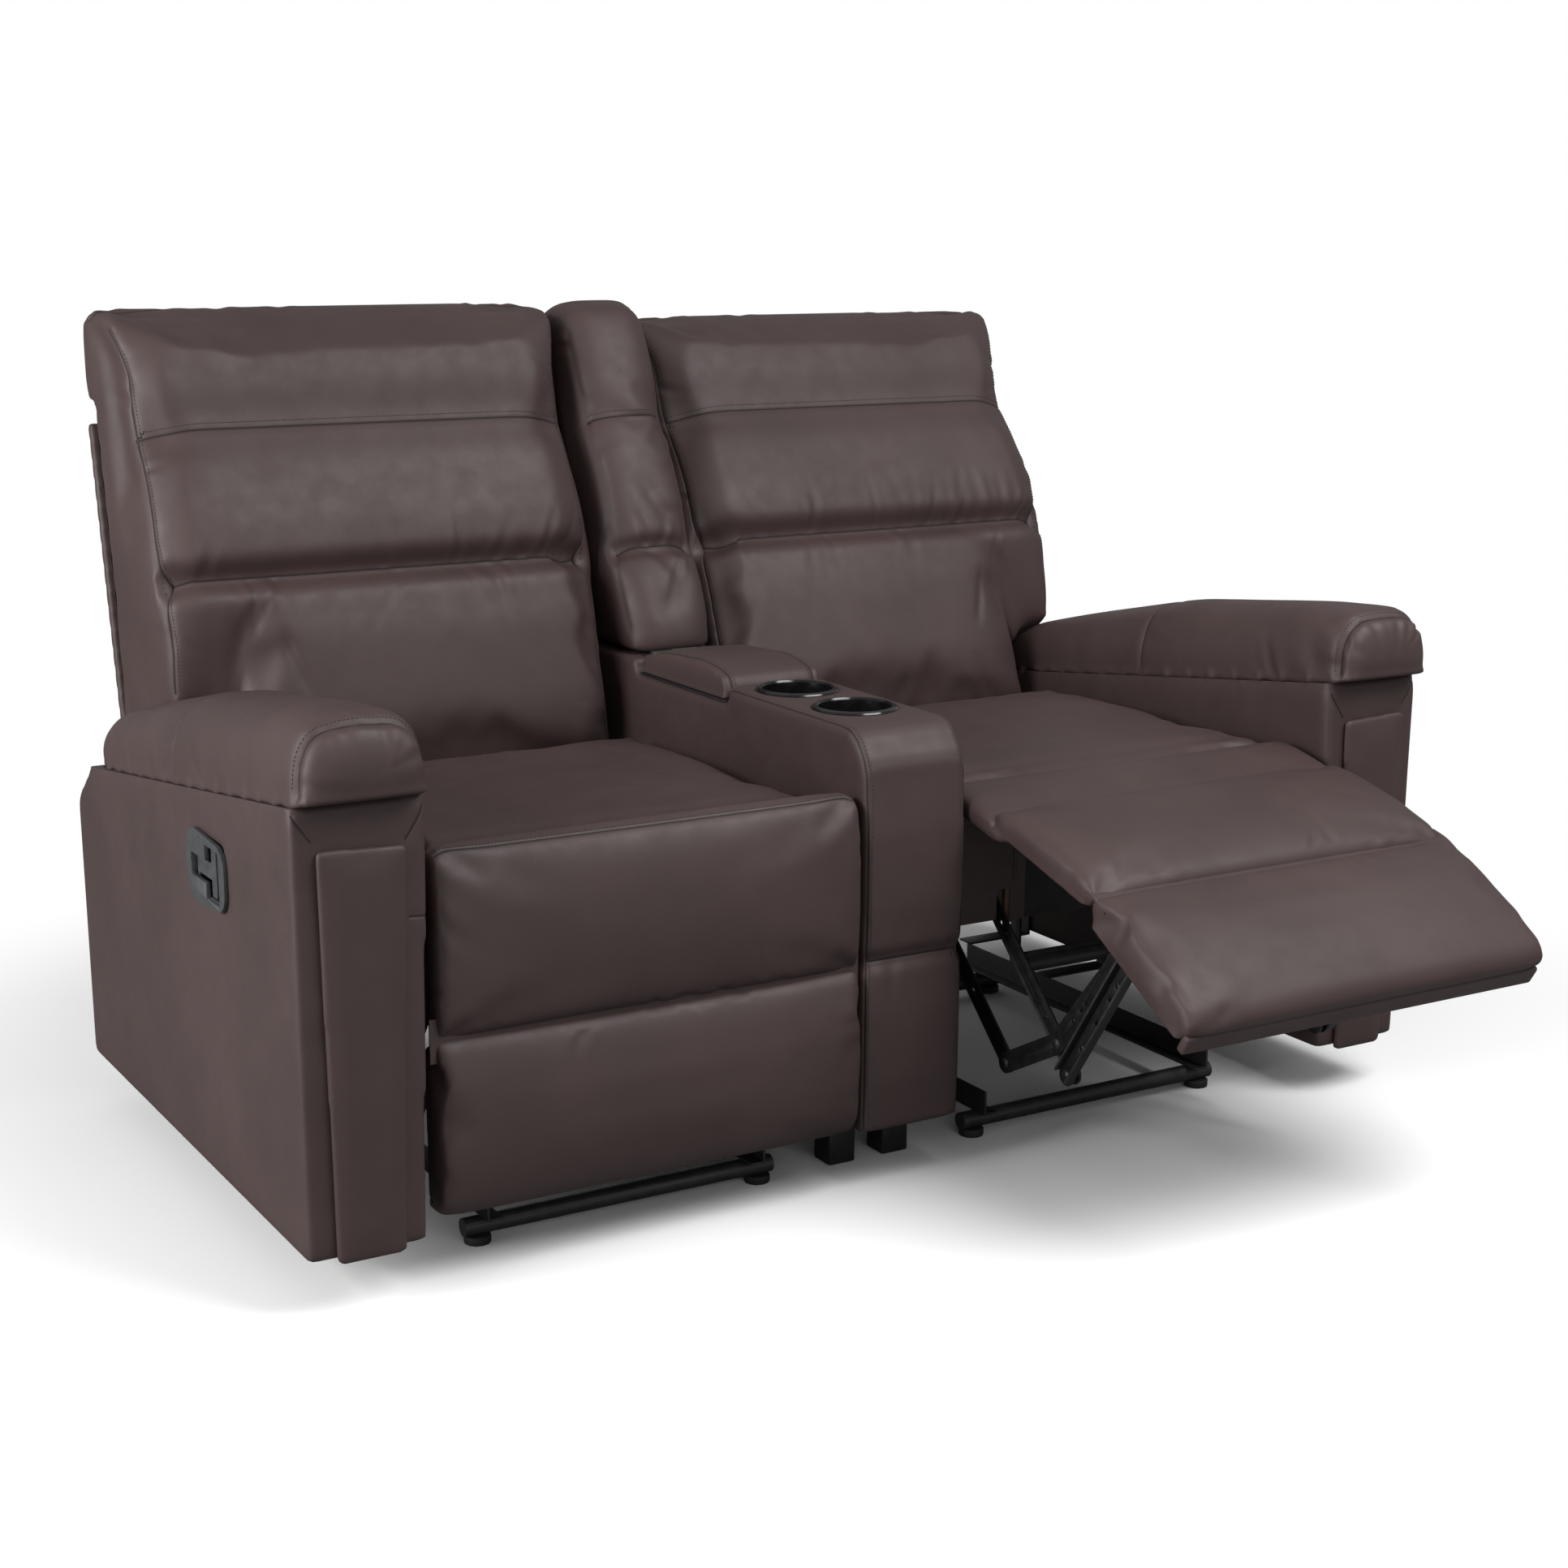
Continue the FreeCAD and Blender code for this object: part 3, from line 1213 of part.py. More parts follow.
def lift_link(name):
    """The long channel link from the crank's end to the foot bracket."""
    half, thick = size("link_half"), size("link_thick")
    run = Vector(lift_pivot[0] - crank_end[0], lift_pivot[1] - crank_end[1], 0)
    long_run = run.Length
    run.normalize()
    aside = Vector(-run.y, run.x, 0)
    start = Vector(crank_end[0], crank_end[1], 0)
    pads = [(at(level(3)), "link_thick", capsule(crank_end, lift_pivot, half))]
    for sign in (1.0, -1.0):
        corners = [start + aside * sign * (half - thick), start + aside * sign * half,
                   start + aside * sign * half + run * long_run,
                   start + aside * sign * (half - thick) + run * long_run]
        pads.append((at(level(3) + " + link_thick"), "link_flange",
                     rounded([(corner.x, corner.y, 0.0) for corner in corners])))
    body = plate(name + "_bar", pads)
    return drill(body, [crank_end], LINK_BORE, at(level(3) + " + link_thick"), "link_thick")


def lift_links(side):
    """Both long channel links of one footrest."""
    return swung(side, both_sides("lift_link_" + side, lift_link), crank_end, crank_end_out, lift_turn)


def tilt_link(name):
    """The bent link from the foot bracket over the crank to the rear link."""
    half = size("link_half")
    body = plate(name + "_bar", [(at(level(1)), "link_thick", capsule(crank_joint, tilt_pivot, half)),
                                 (at(level(1)), "link_thick", capsule(crank_joint, rear_end, half))])
    return drill(body, [crank_joint], LINK_BORE, at(level(1) + " + link_thick"), "link_thick")


def tilt_links(side):
    """Both bent links of one footrest."""
    return swung(side, both_sides("tilt_link_" + side, tilt_link), crank_joint, crank_joint_out, tilt_turn)


def rear_link(name):
    """The rear link from the side plate to the bent link's tail."""
    body = plate(name + "_bar", [(at(level(0)), "link_thick",
                                  capsule(rear_pivot, rear_end, size("link_half")))])
    return drill(body, [rear_pivot], LINK_BORE, at(level(0) + " + link_thick"), "link_thick")


def rear_links(side):
    """Both rear links of one footrest."""
    return swung(side, both_sides("rear_link_" + side, rear_link), rear_pivot, rear_pivot, rear_turn)


publish_pair("crank", cranks)
publish_pair("lift_link", lift_links)
publish_pair("tilt_link", tilt_links)
publish_pair("rear_link", rear_links)


# Check every piece, then write it

doc.recompute()
for item in doc.Objects:
    if "Invalid" in item.State or "Error" in item.State:
        raise RuntimeError("failed: %s %s" % (item.Name, item.State))
for node in nodes:
    if node.Shape.isNull() or not node.Shape.isValid() or not node.Shape.Solids:
        raise RuntimeError("bad shape: " + node.Label)

os.makedirs("parts", exist_ok=True)
whole = FreeCAD.BoundBox()
for node in nodes:
    node.Shape.exportStep("parts/%s.step" % node.Label)
    whole.add(node.Shape.BoundBox)
print("pieces", len(nodes), "box", whole)
print("turns: bridge %.2f foot %.2f crank %.2f lift %.3f tilt %.3f rear %.3f" % (
    -size("bridge_turn"), -size("foot_turn"), -size("crank_turn"), lift_turn, tilt_turn, rear_turn))
print("crank end out", crank_end_out, "crank joint out", crank_joint_out, "foot hinge out", foot_hinge_out)
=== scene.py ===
import logging
import math
from contextlib import contextmanager
from dataclasses import dataclass
from enum import Enum
from typing import Callable, Iterable, Iterator, Sequence

import bpy
import numpy as np
from mathutils import Matrix, Vector
from mathutils.bvhtree import BVHTree


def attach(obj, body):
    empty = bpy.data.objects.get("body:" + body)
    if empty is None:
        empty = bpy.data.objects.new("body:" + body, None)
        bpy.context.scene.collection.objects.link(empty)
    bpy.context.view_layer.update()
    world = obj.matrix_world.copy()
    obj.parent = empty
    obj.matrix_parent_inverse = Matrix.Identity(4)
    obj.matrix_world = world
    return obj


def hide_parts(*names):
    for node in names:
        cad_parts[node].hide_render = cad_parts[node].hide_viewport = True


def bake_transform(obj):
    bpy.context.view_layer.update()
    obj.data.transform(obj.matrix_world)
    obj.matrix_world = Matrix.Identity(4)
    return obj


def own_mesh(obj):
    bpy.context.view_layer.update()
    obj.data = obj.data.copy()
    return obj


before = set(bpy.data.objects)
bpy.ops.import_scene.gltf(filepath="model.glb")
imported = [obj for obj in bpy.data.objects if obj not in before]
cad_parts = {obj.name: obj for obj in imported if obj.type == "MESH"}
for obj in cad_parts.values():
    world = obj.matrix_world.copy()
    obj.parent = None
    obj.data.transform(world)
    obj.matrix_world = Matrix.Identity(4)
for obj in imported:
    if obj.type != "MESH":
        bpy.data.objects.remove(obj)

# Reclining loveseat with a centre console: the leather, the linkage and the studio round it.
# Cushions are drawn for the right-hand seat with its footrest closed and its back upright, in metres,
# with y counted back from the front of the arms, then set in their place and mirrored for the left.

log = logging.getLogger("loveseat")
Place = tuple[float, float]
Point = tuple[float, float, float]
Colour = tuple[float, float, float, float]
Array = np.ndarray
Piece = bpy.types.Object
Node, Tree, Socket = bpy.types.Node, bpy.types.NodeTree, bpy.types.NodeSocket
Inputs = dict[str | int, object]
Rule = Callable[[Array], Array]
MIRROR = Matrix.Scale(-1.0, 4, (1.0, 0.0, 0.0))
# How far the origin lies behind the front of the arms. Then the leaning plane of the backs: the height of
# its foot and its slope. Then the armrest: the height and fall of the plane below it, the middle and half
# of its width, and the roundness of its arch across and upward.
ORIGIN_BACK = 0.284
BACK_FOOT, BACK_SLOPE = 0.402, 0.17
ARM_TOP, ARM_SLOPE = 0.563, 0.1326
ARM_MIDDLE, ARM_HALF = 0.6975, 0.0775
ARCH_WIDE, ARCH_HIGH = 0.55, 0.7
SIDED_BODIES = ("back", "crank_arm", "lift_arm", "footrest", "bridge", "tilt_arm", "rear_arm", "handle")
for spare in ("Cube", "Light", "Camera"):
    if spare in bpy.data.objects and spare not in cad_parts:
        bpy.data.objects.remove(bpy.data.objects[spare])
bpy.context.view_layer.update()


def rgb(red: int, green: int, blue: int) -> Colour:
    """A colour as it is seen on a screen, from 0 to 255, for a shader socket."""
    parts = []
    for part in (red, green, blue):
        share = part / 255.0
        parts.append(share / 12.92 if share <= 0.04045 else ((share + 0.055) / 1.055) ** 2.4)
    return (parts[0], parts[1], parts[2], 1.0)


def scaled(colour: Colour, factor: float, lift: float = 0.0) -> Colour:
    """A colour made darker or lighter, up to white."""
    return tuple(min(1.0, part * factor + lift) for part in colour[:3]) + (1.0,)


def ramp(values: Array, start: float, reach: float) -> Array:
    """0 up to a start and 1 from a signed reach beyond it, straight in between."""
    return np.clip((values - start) / reach, 0.0, 1.0)


def back_plane(high: Array, foot: float) -> Array:
    """How far back the leaning plane of a backrest lies at a height."""
    return foot + BACK_SLOPE * (high - BACK_FOOT)


def arm_plane(back: float | Array) -> float | Array:
    """The height of the falling plane below the armrest."""
    return ARM_TOP - ARM_SLOPE * back


def nowhere(spots: Array) -> Array:
    """Chooses none of the points."""
    return np.zeros(len(spots), bool)


class Side(Enum):
    """The two halves of the loveseat, as seen from the front."""

    LEFT = "left"
    RIGHT = "right"

    @property
    def sign(self) -> float:
        """-1 on the left and 1 on the right."""
        return -1.0 if self is Side.LEFT else 1.0

    def named(self, name: str) -> str:
        """The name of this half's own piece or body."""
        return f"{self.value}_{name}"

    def carrier(self, body: str) -> str:
        """The body that carries a piece on this half."""
        return self.named(body) if body in SIDED_BODIES else body

    def flip(self, mesh: bpy.types.Mesh) -> None:
        """Mirrors a mesh on the left half and leaves it on the right."""
        if self is Side.LEFT:
            mesh.transform(MIRROR)
            mesh.flip_normals()


class Slot(Enum):
    """The record's material slots."""

    LEATHER = "leather"
    TIMBER = "timber"
    DARK_STEEL = "dark_steel"
    BRIGHT_STEEL = "bright_steel"
    DARK_PLASTIC = "dark_plastic"
    BLACK_RUBBER = "black_rubber"
    WEBBING = "webbing"


@dataclass(frozen=True)
class Stance:
    """Where a piece that is drawn closed or upright stands on the opened seat."""

    before: Place = (0.0, 0.0)
    after: Place = (0.0, 0.0)
    degrees: float = 0.0

    def matrix(self) -> Matrix:
        """The move from the drawn place to the object's own frame."""
        shift = Matrix.Translation((0.0, -ORIGIN_BACK, 0.0))
        back = Matrix.Translation((0.0, -self.before[0], -self.before[1]))
        turn = Matrix.Rotation(math.radians(self.degrees), 4, "X")
        return shift @ Matrix.Translation((0.0, self.after[0], self.after[1])) @ turn @ back

    def on(self, side: Side) -> "Stance":
        """This stance on the opened right half, and the closed one on the left."""
        return self if side is Side.RIGHT else CLOSED


CLOSED = Stance()
BRIDGE_OUT = Stance((0.025, 0.283), (-0.220369, 0.404322), -74.0)
FOOT_OUT = Stance((0.025, 0.283), (-0.220369, 0.404322), -60.0)
BACK_LEANT = Stance((0.690, 0.375), (0.690, 0.375), -7.0)


# Shader nodes


def plug(tree: Tree, node: Node, inputs: Inputs) -> None:
    """Fills a node's sockets, by label or number, from other sockets or plain values."""
    for label, value in inputs.items():
        if isinstance(value, Socket):
            tree.links.new(value, node.inputs[label])
        elif value is not None:
            node.inputs[label].default_value = value


def add_node(tree: Tree, kind: str, inputs: Inputs | None = None,
             **settings: object) -> Node:
    """Adds a shader node to a tree.

    Args:
        tree: the material's, group's or world's tree.
        kind: the node's type, without the word that every type starts with.
        inputs: what goes into its sockets, by label or number.
        settings: the node's own settings.

    Returns:
        The new node.
    """
    node = tree.nodes.new("ShaderNode" + kind)
    for name, value in settings.items():
        setattr(node, name, value)
    plug(tree, node, inputs or {})
    return node


def mixed(tree: Tree, mask: object, first: object, second: object) -> Socket:
    """The output of a colour mix by a mask, from sockets or plain colours."""
    inputs = {"Factor": mask, 6: first, 7: second}
    return add_node(tree, "Mix", inputs, data_type="RGBA", clamp_factor=True).outputs[2]


def spread(tree: Tree, mask: object, low: float, high: float) -> Socket:
    """The middle part of a mask carried onto a range of values."""
    inputs = {"Value": mask, "From Min": 0.3, "From Max": 0.7, "To Min": low, "To Max": high}
    return add_node(tree, "MapRange", inputs).outputs["Result"]


def relief(tree: Tree, height: object, depth: float, strength: float,
           under: object = None) -> Socket:
    """A bumped normal from a height, over another normal if one is given."""
    inputs = {"Height": height, "Distance": depth, "Strength": strength, "Normal": under}
    return add_node(tree, "Bump", inputs).outputs["Normal"]


class Effect:
    """A shader node group that is built once and placed in several materials."""

    made: dict[type, "Effect"] = {}

    def __init__(self, name: str, inputs: dict[str, float], outputs: Sequence[str]) -> None:
        """Makes the group with its named inputs and outputs and the place on the object."""
        self.tree = bpy.data.node_groups.new(name, "ShaderNodeTree")
        for label, value in inputs.items():
            socket = self.tree.interface.new_socket(label, in_out="INPUT", socket_type="NodeSocketFloat")
            socket.default_value = value
        for label in outputs:
            self.tree.interface.new_socket(label, in_out="OUTPUT", socket_type="NodeSocketFloat")
        self.given = self.tree.nodes.new("NodeGroupInput").outputs
        self.exit = self.tree.nodes.new("NodeGroupOutput")
        self.spot = self.node("TexCoord").outputs["Object"]

    def node(self, kind: str, inputs: Inputs | None = None, **settings: object) -> Node:
        """A new node of the group."""
        return add_node(self.tree, kind, inputs, **settings)

    def noise(self, scale: object, spot: object = None, **inputs: float) -> Node:
        """A noise over the object, or over another place if one is given."""
        sockets = {"Vector": self.spot if spot is None else spot, "Scale": scale}
        sockets.update({label.capitalize(): value for label, value in inputs.items()})
        return self.node("TexNoise", sockets)

    def math(self, operation: str, first: object, second: object = None,
             clamp: bool = False) -> Socket:
        """The output of a Math node on sockets or plain numbers."""
        return self.node("Math", {0: first, 1: second}, operation=operation, use_clamp=clamp).outputs[0]

    def leave(self, **outputs: Socket) -> None:
        """Joins sockets to the group's outputs."""
        plug(self.tree, self.exit, {label.capitalize(): socket for label, socket in outputs.items()})

    @classmethod
    def place(cls, tree: Tree, **values: float) -> Node:
        """Puts the one shared group in a material with its own values."""
        if cls not in Effect.made:
            Effect.made[cls] = cls()
        inputs = {label.capitalize(): value for label, value in values.items()}
        return add_node(tree, "Group", inputs, node_tree=Effect.made[cls].tree)


class LeatherGrain(Effect):
    """Fine pebbled grain with broad soft changes of tone."""

    def __init__(self) -> None:
        """Builds the grain from two sizes of cells and a broad noise."""
        super().__init__("leather grain", {"Cells": 900.0, "Patches": 7.0}, ("Height", "Tone", "Gloss"))
        cells, patches = self.given["Cells"], self.given["Patches"]
        warp = {0: self.noise(160.0).outputs["Color"], 1: (0.0012, 0.0012, 0.0012), 2: self.spot}
        bent = self.node("VectorMath", warp, operation="MULTIPLY_ADD").outputs[0]
        coarse = {"Vector": bent, "Scale": cells, "Smoothness": 0.6}
        coarse = self.node("TexVoronoi", coarse, feature="SMOOTH_F1")
        fine = {"Vector": bent, "Scale": self.math("MULTIPLY", cells, 2.3)}
        fine = self.node("TexVoronoi", fine, feature="F1")
        pits = self.math("MULTIPLY", fine.outputs["Distance"], -0.3)
        tone = self.noise(patches, detail=5.0)
        gloss = self.noise(self.math("MULTIPLY", patches, 5.0), detail=3.0)
        self.leave(height=self.math("SUBTRACT", pits, coarse.outputs["Distance"]),
                   tone=tone.outputs["Fac"], gloss=gloss.outputs["Fac"])


class SewnLine(Effect):
    """The narrow dark joint where two pieces of cover are sewn together."""

    def __init__(self) -> None:
        """Reads how far a point lies from its seam, in millimetres."""
        super().__init__("sewn line", {"Width": 1.5, "Dip": 4.0}, ("Line", "Height"))
        gap = self.node("Attribute", attribute_name="seam_gap").outputs["Fac"]
        near = self.node("Attribute", attribute_name="seam_near").outputs["Fac"]
        away = self.math("ABSOLUTE", gap)
        here = self.math("GREATER_THAN", near, 0.5)
        sharp, broad = (self.math("SUBTRACT", 1.0, self.math("DIVIDE", away, self.given[label]), clamp=True)
                        for label in ("Width", "Dip"))
        dip = self.math("MULTIPLY", self.math("MULTIPLY", broad, broad), -1.0)
        self.leave(line=self.math("MULTIPLY", here, self.math("POWER", sharp, 0.6)),
                   height=self.math("MULTIPLY", here, dip))


class Wear(Effect):
    """Scuffs and rubbed edges on painted and moulded pieces."""

    def __init__(self) -> None:
        """Mixes fine scratches with the convex edges of the shape."""
        super().__init__("wear", {"Scuffs": 60.0, "Edges": 0.5}, ("Rubbed", "Speckle", "Height"))
        broad = self.noise(self.given["Scuffs"], detail=6.0, roughness=0.65).outputs["Fac"]
        speckle = self.noise(1400.0, detail=2.0)
        edge = self.node("NewGeometry").outputs["Pointiness"]
        sharp = self.math("MULTIPLY", self.math("SUBTRACT", edge, 0.53), 9.0, clamp=True)
        rubbed = self.math("MULTIPLY", self.math("MULTIPLY", sharp, broad), self.given["Edges"])
        self.leave(rubbed=self.math("MULTIPLY", rubbed, 1.6, clamp=True), speckle=broad,
                   height=speckle.outputs["Fac"])


class Weave(Effect):
    """Crossing threads, seen on webbing and on lining cloth."""

    def __init__(self) -> None:
        """Builds two crossed bands of ribs."""
        super().__init__("weave", {"Threads": 900.0}, ("Height", "Tone"))
        ribs = {"Vector": self.spot, "Scale": self.given["Threads"], "Distortion": 0.4}
        bands = [self.node("TexWave", ribs, wave_type="BANDS", bands_direction=direction).outputs["Fac"]
                 for direction in ("X", "Y")]
        self.leave(height=self.math("MAXIMUM", *bands), tone=self.noise(45.0).outputs["Fac"])


class WoodGrain(Effect):
    """Long wavering grain with pores."""

    def __init__(self) -> None:
        """Stretches a noise along the board."""
        super().__init__("wood grain", {"Rings": 26.0}, ("Tone", "Height"))
        long = self.node("VectorMath", {0: self.spot, 1: (0.16, 1.0, 1.0)}, operation="MULTIPLY").outputs[0]
        grain = self.noise(self.given["Rings"], long, detail=8.0, distortion=1.4)
        self.leave(tone=grain.outputs["Fac"], height=self.noise(700.0, long).outputs["Fac"])


# Finishes


@dataclass(frozen=True)
class Finish:
    """A named surface with two tones and a range of roughness."""

    name: str
    tone: Colour
    shade: Colour
    smooth: float = 0.4
    rough: float = 0.6

    def material(self) -> bpy.types.Material:
        """The finished material, built at its first use."""
        if self.name in bpy.data.materials:
            return bpy.data.materials[self.name]
        made = bpy.data.materials.new(self.name)
        made.use_nodes = True
        made.diffuse_color = self.tone
        plug(made.node_tree, made.node_tree.nodes["Principled BSDF"], self.sockets(made.node_tree))
        return made

    def sockets(self, tree: Tree) -> Inputs:
        """What goes into the shader, by label."""
        raise NotImplementedError

    def common(self, tree: Tree, pattern: Node, mask: str, depth: float, strength: float,
               gloss: str = "", under: object = None) -> Inputs:
        """Tone, roughness and relief from a pattern.

        Args:
            tree: the material's tree.
            pattern: the placed effect.
            mask: the pattern's output that mixes the two tones.
            depth: the depth of the relief.
            strength: how strongly the relief shows.
            gloss: the output that spreads the roughness, if it isn't the mask.
            under: a normal below the relief.

        Returns:
            The shader's inputs.
        """
        tone = spread(tree, pattern.outputs[mask], 0.0, 1.0)
        return {"Base Color": mixed(tree, tone, self.shade, self.tone),
                "Roughness": spread(tree, pattern.outputs[gloss or mask], self.smooth, self.rough),
                "Normal": relief(tree, pattern.outputs["Height"], depth, strength, under)}


@dataclass(frozen=True)
class Leather(Finish):
    """Brown upholstery leather with fine grain and sewn joints."""

    def sockets(self, tree: Tree) -> Inputs:
        """Grain, tone and seams."""
        line = SewnLine.place(tree)
        seams = relief(tree, line.outputs["Height"], 0.0012, 0.9)
        found = self.common(tree, LeatherGrain.place(tree), "Tone", 0.00022, 0.35, "Gloss", seams)
        found["Base Color"] = mixed(tree, line.outputs["Line"], found["Base Color"], scaled(self.shade, 0.16))
        return found | {"Specular IOR Level": 0.40}


@dataclass(frozen=True)
class PaintedSteel(Finish):
    """Black coated steel with rubbed edges."""

    metal: Colour = rgb(120, 118, 116)

    def sockets(self, tree: Tree) -> Inputs:
        """Coat, scuffs and bare edges."""
        wear = Wear.place(tree, edges=0.35)
        found = self.common(tree, wear, "Speckle", 0.00012, 0.4)
        found["Base Color"] = mixed(tree, wear.outputs["Rubbed"], found["Base Color"], self.metal)
        return found | {"Metallic": wear.outputs["Rubbed"]}


@dataclass(frozen=True)
class Moulding(Finish):
    """Moulded plastic or rubber with a fine spark texture."""

    texture: float = 0.00012

    def sockets(self, tree: Tree) -> Inputs:
        """Spark texture, scuffs and lighter edges."""
        wear = Wear.place(tree, scuffs=90.0, edges=0.4)
        found = self.common(tree, wear, "Speckle", self.texture, 0.5)
        light = scaled(self.tone, 2.2, 0.01)
        return found | {"Base Color": mixed(tree, wear.outputs["Rubbed"], found["Base Color"], light)}


@dataclass(frozen=True)
class Cloth(Finish):
    """Woven webbing and lining."""

    threads: float = 900.0

    def sockets(self, tree: Tree) -> Inputs:
        """Crossed threads."""
        weave = Weave.place(tree, threads=self.threads)
        return self.common(tree, weave, "Tone", 0.0003, 0.6) | {"Sheen Weight": 0.15}


@dataclass(frozen=True)
class Wood(Finish):
    """Plywood and sawn rails."""

    def sockets(self, tree: Tree) -> Inputs:
        """Grain and pores."""
        return self.common(tree, WoodGrain.place(tree), "Tone", 0.0003, 0.5)


LEATHER = Leather("brown leather", rgb(65, 51, 50), rgb(57, 44, 43), 0.52, 0.62)
THREAD = Cloth("sewing thread", rgb(40, 32, 31), rgb(30, 24, 23), 0.6, 0.75, 4000.0)
STEEL = PaintedSteel("black painted steel", rgb(20, 20, 21), rgb(13, 13, 14), 0.38, 0.55)
BLACK_PLASTIC = Moulding("black moulding", rgb(30, 30, 32), rgb(24, 24, 26), 0.34, 0.5)
GLOSS_PLASTIC = Moulding("glossy cup moulding", rgb(16, 16, 18), rgb(11, 11, 12), 0.12, 0.24, 0.00003)
HANDLE_PLASTIC = Moulding("grey handle moulding", rgb(58, 60, 62), rgb(48, 50, 52), 0.42, 0.58)
RUBBER = Moulding("black rubber", rgb(22, 22, 22), rgb(15, 15, 15), 0.6, 0.8)
LINING = Cloth("black lining cloth", rgb(17, 17, 18), rgb(11, 11, 12), 0.8, 0.95, 1400.0)
STRAP = Cloth("webbing strap", rgb(60, 58, 54), rgb(40, 39, 37), 0.75, 0.9, 700.0)
PLYWOOD = Wood("stained plywood", rgb(88, 68, 48), rgb(66, 50, 35), 0.55, 0.75)


# Modelling bench


class Bench:
    """Small steps of modelling that every piece uses."""

    @staticmethod
    def clear() -> None:
        """Leaves edit mode and selects nothing."""
        if bpy.context.object and bpy.context.object.mode != "OBJECT":
            bpy.ops.object.mode_set(mode="OBJECT")
        bpy.ops.object.select_all(action="DESELECT")

    @staticmethod
    def pick(piece: Piece, *others: Piece) -> None:
        """Selects a piece and makes it the active one, with others selected beside it."""
        Bench.clear()
        for item in (piece, *others):
            item.select_set(True)
        bpy.context.view_layer.objects.active = piece

    @staticmethod
    @contextmanager
    def editing(piece: Piece) -> Iterator[None]:
        """Edit mode with the whole of a mesh selected."""
        Bench.pick(piece)
        bpy.ops.object.mode_set(mode="EDIT")
        bpy.ops.mesh.select_all(action="SELECT")
        yield
        bpy.ops.object.mode_set(mode="OBJECT")

    @staticmethod
    def new(name: str, data: bpy.types.ID) -> Piece:
        """A new object of the scene with its mesh, lamp or camera."""
        made = bpy.data.objects.new(name, data)
        bpy.context.scene.collection.objects.link(made)
        return made

    @staticmethod
    def settle(piece: Piece) -> Piece:
        """Moves a piece's place, turn and scale into its mesh."""
        Bench.pick(piece)
        bpy.ops.object.transform_apply(location=True, rotation=True, scale=True)
        return piece

    @staticmethod
    def modify(piece: Piece, kind: str, **settings: object) -> None:
        """Adds a modifier with its settings and applies it."""
        Bench.pick(piece)
        modifier = piece.modifiers.new(kind.title(), kind)
        for name, value in settings.items():
            setattr(modifier, name, value)
        bpy.ops.object.modifier_apply(modifier=modifier.name)

    @staticmethod
    def join(pieces: Sequence[Piece], name: str = "") -> Piece:
        """Joins pieces into the first one and gives it a name if one is given."""
        Bench.pick(*pieces)
        if len(pieces) > 1:
            bpy.ops.object.join()
        if name:
            pieces[0].name = name
        return pieces[0]

    @staticmethod
    def merged_copy(nodes: Sequence[str], name: str) -> Piece:
        """A new object from copies of one or more CAD nodes, with its doubles merged.

        Args:
            nodes: the nodes to copy.
            name: the new object's name.

        Returns:
            The joined and merged copy, at the origin.
        """
        copies = []
        for node in nodes:
            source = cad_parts[node]
            copy = Bench.new(name, source.data.copy())
            copy.data.transform(source.matrix_world)
            copy.data.materials.clear()
            copies.append(copy)
        piece = Bench.join(copies)
        with Bench.editing(piece):
            bpy.ops.mesh.remove_doubles(threshold=1e-5)
        return piece

    @staticmethod
    def rows(items: bpy.types.bpy_prop_collection, label: str) -> Array:
        """Three numbers of each item of a mesh's list, one row each."""
        flat = np.empty(len(items) * 3, np.float32)
        items.foreach_get(label, flat)
        return flat.reshape(-1, 3).astype(float)

    @staticmethod
    def spots(piece: Piece) -> Array:
        """The places of a mesh's points."""
        return Bench.rows(piece.data.vertices, "co")

    @staticmethod
    def outward(piece: Piece) -> Array:
        """The outward direction at each point of a mesh."""
        return Bench.rows(piece.data.vertex_normals, "vector")

    @staticmethod
    def place_spots(piece: Piece, spots: Array) -> None:
        """Moves a mesh's points to new places."""
        piece.data.vertices.foreach_set("co", spots.astype(np.float32).ravel())
        piece.data.update()

    @staticmethod
    def group(piece: Piece, name: str, chosen: Array) -> None:
        """Names a group of a mesh's points."""
        piece.vertex_groups.new(name=name).add(np.flatnonzero(chosen).tolist(), 1.0, "REPLACE")

    @staticmethod
    def relax(piece: Piece, held: Array, times: int) -> None:
        """Smooths a mesh a number of times, everywhere but on its held points."""
        Bench.group(piece, "free", ~held)
        Bench.modify(piece, "SMOOTH", iterations=times, factor=0.5, vertex_group="free")
        piece.vertex_groups.clear()

    @staticmethod
    def refit(piece: Piece, low: Array, high: Array) -> None:
        """Stretches a mesh until its box is the one given."""
        spots = Bench.spots(piece)
        now_low, now_high = spots.min(0), spots.max(0)
        Bench.place_spots(piece, low + (spots - now_low) * ((high - low) / (now_high - now_low)))

    @staticmethod
    def trim(piece: Piece, point: Point, normal: Point) -> None:
        """Cuts a mesh off along a plane, after drawing its rim a little across it.

        Args:
            piece: the mesh object to cut.
            point: a point of the plane.
            normal: the plane's direction, out of the piece.
        """
        push, reach = 0.003, 0.009
        facing = np.array(normal) / np.linalg.norm(normal)
        spots = Bench.spots(piece)
        inside = np.array(point) @ facing - spots @ facing
        Bench.place_spots(piece, spots + facing * (push * np.exp(-(inside / reach) ** 2))[:, None])
        with Bench.editing(piece):
            bpy.ops.mesh.bisect(plane_co=point, plane_no=normal, use_fill=True, clear_outer=True)

